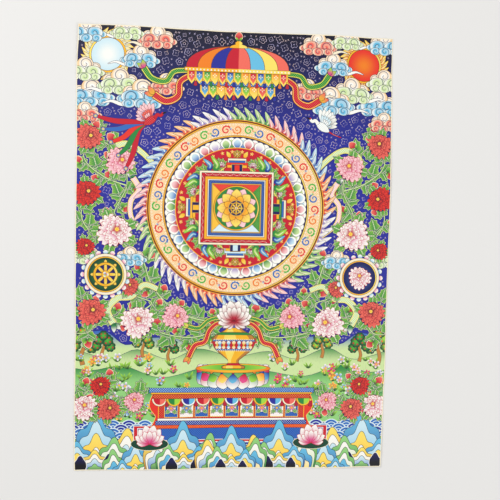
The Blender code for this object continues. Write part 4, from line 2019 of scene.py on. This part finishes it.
@dataclass(frozen=True)
class Studio:
    """A plain pale floor, soft light, and the camera almost straight above."""

    camera_at: tuple[float, float, float] = (-0.0575, 0.0362, 0.7185)
    aim: tuple[float, float, float] = (0.0152, 0.0034, 0.001)
    head: tuple[float, float, float] = (-0.0164, 0.9987, -0.0473)
    lens: float = 50.4
    floor: float = 3.0
    pale: tuple[float, float, float] = (0.78, 0.77, 0.75)
    sky: float = 0.465

    # Each lamp's name, place, width and power.
    LAMPS = (("key_lamp", (-0.95, 0.85, 1.5), 1.3, 22.6), ("fill_lamp", (1.15, -0.55, 1.35), 1.6, 12.3))

    def build(self) -> None:
        """Sets up everything round the cloth."""
        self._floor()
        for lamp in self.LAMPS:
            self._lamp(*lamp)
        world = bpy.data.worlds.new("studio_air")
        world.use_nodes = True
        sockets = world.node_tree.nodes["Background"].inputs
        sockets["Color"].default_value = (1.0, 1.0, 1.0, 1.0)
        sockets["Strength"].default_value = self.sky
        bpy.context.scene.world = world
        bpy.context.scene.view_settings.view_transform = "Standard"
        self._camera()

    def _floor(self) -> None:
        """Lays the floor just under the cloth."""
        corners = [(x, y, -0.05) for x, y in oblong(self.floor / MM, self.floor / MM)]
        floor = new_piece("studio_floor", mesh_from("studio_floor", corners, [(0, 1, 2, 3)]))
        shader = Shader("pale_floor")
        shader.set(Base_Color=(*self.pale, 1.0), Roughness=0.85)
        floor.data.materials.append(shader.material)

    def _lamp(self, name: str, place: tuple[float, float, float], size: float, power: float) -> None:
        """Hangs one large square lamp that faces the cloth."""
        lamp = bpy.data.lights.new(name, "AREA")
        lamp.size, lamp.energy = size, power
        holder = new_piece(name, lamp)
        holder.location = place
        holder.rotation_euler = (-Vector(place)).to_track_quat("-Z", "Y").to_euler()

    def _camera(self) -> None:
        """Places the camera, its picture's upright along the cloth's length."""
        camera = new_piece("camera", bpy.data.cameras.new("camera"))
        camera.data.lens, camera.data.sensor_width = self.lens, 36.0
        back = (Vector(self.camera_at) - Vector(self.aim)).normalized()
        right = Vector(self.head).cross(back).normalized()
        turned = Matrix((right, back.cross(right), back)).transposed().to_4x4()
        camera.matrix_world = Matrix.Translation(self.camera_at) @ turned
        bpy.context.scene.camera = camera


# ---- Putting it together ----


def main() -> None:
    """Builds the studio, the cloth and what is raised on it, and hangs each piece from the root body."""
    logging.basicConfig(level=logging.INFO, format="%(name)s: %(message)s")
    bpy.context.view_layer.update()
    Studio().build()
    picture = Garden().paint()
    cotton = CottonFinish("bare_cotton", CREAM, PEACH)
    cut = CottonFinish("cut_cotton", CHALK, CREAM)
    cloth = Cloth(Bed(), PaintFinish(), cotton, cut)
    sheet = cloth.build(picture)
    chalk = RaisedFinish("chalk_dots", CHALK, CREAM, 0.4)
    gold = RaisedFinish("gold_strokes", MOON, PEACH, 0.35, 0.2)
    raised = [
        Pearls(chalk).build(cloth, picture),
        Sprigs(gold).build(cloth),
        Fray(replace(cut, name="yarn_cotton")).build(cloth),
    ]
    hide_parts(cloth.bed.node)
    for piece in [sheet, *raised]:
        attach(piece, "root")
        LOG.info("piece %s: %d faces", piece.name, len(piece.data.polygons))
    low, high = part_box(cloth.bed.node)


if __name__ == "__main__":
    main()
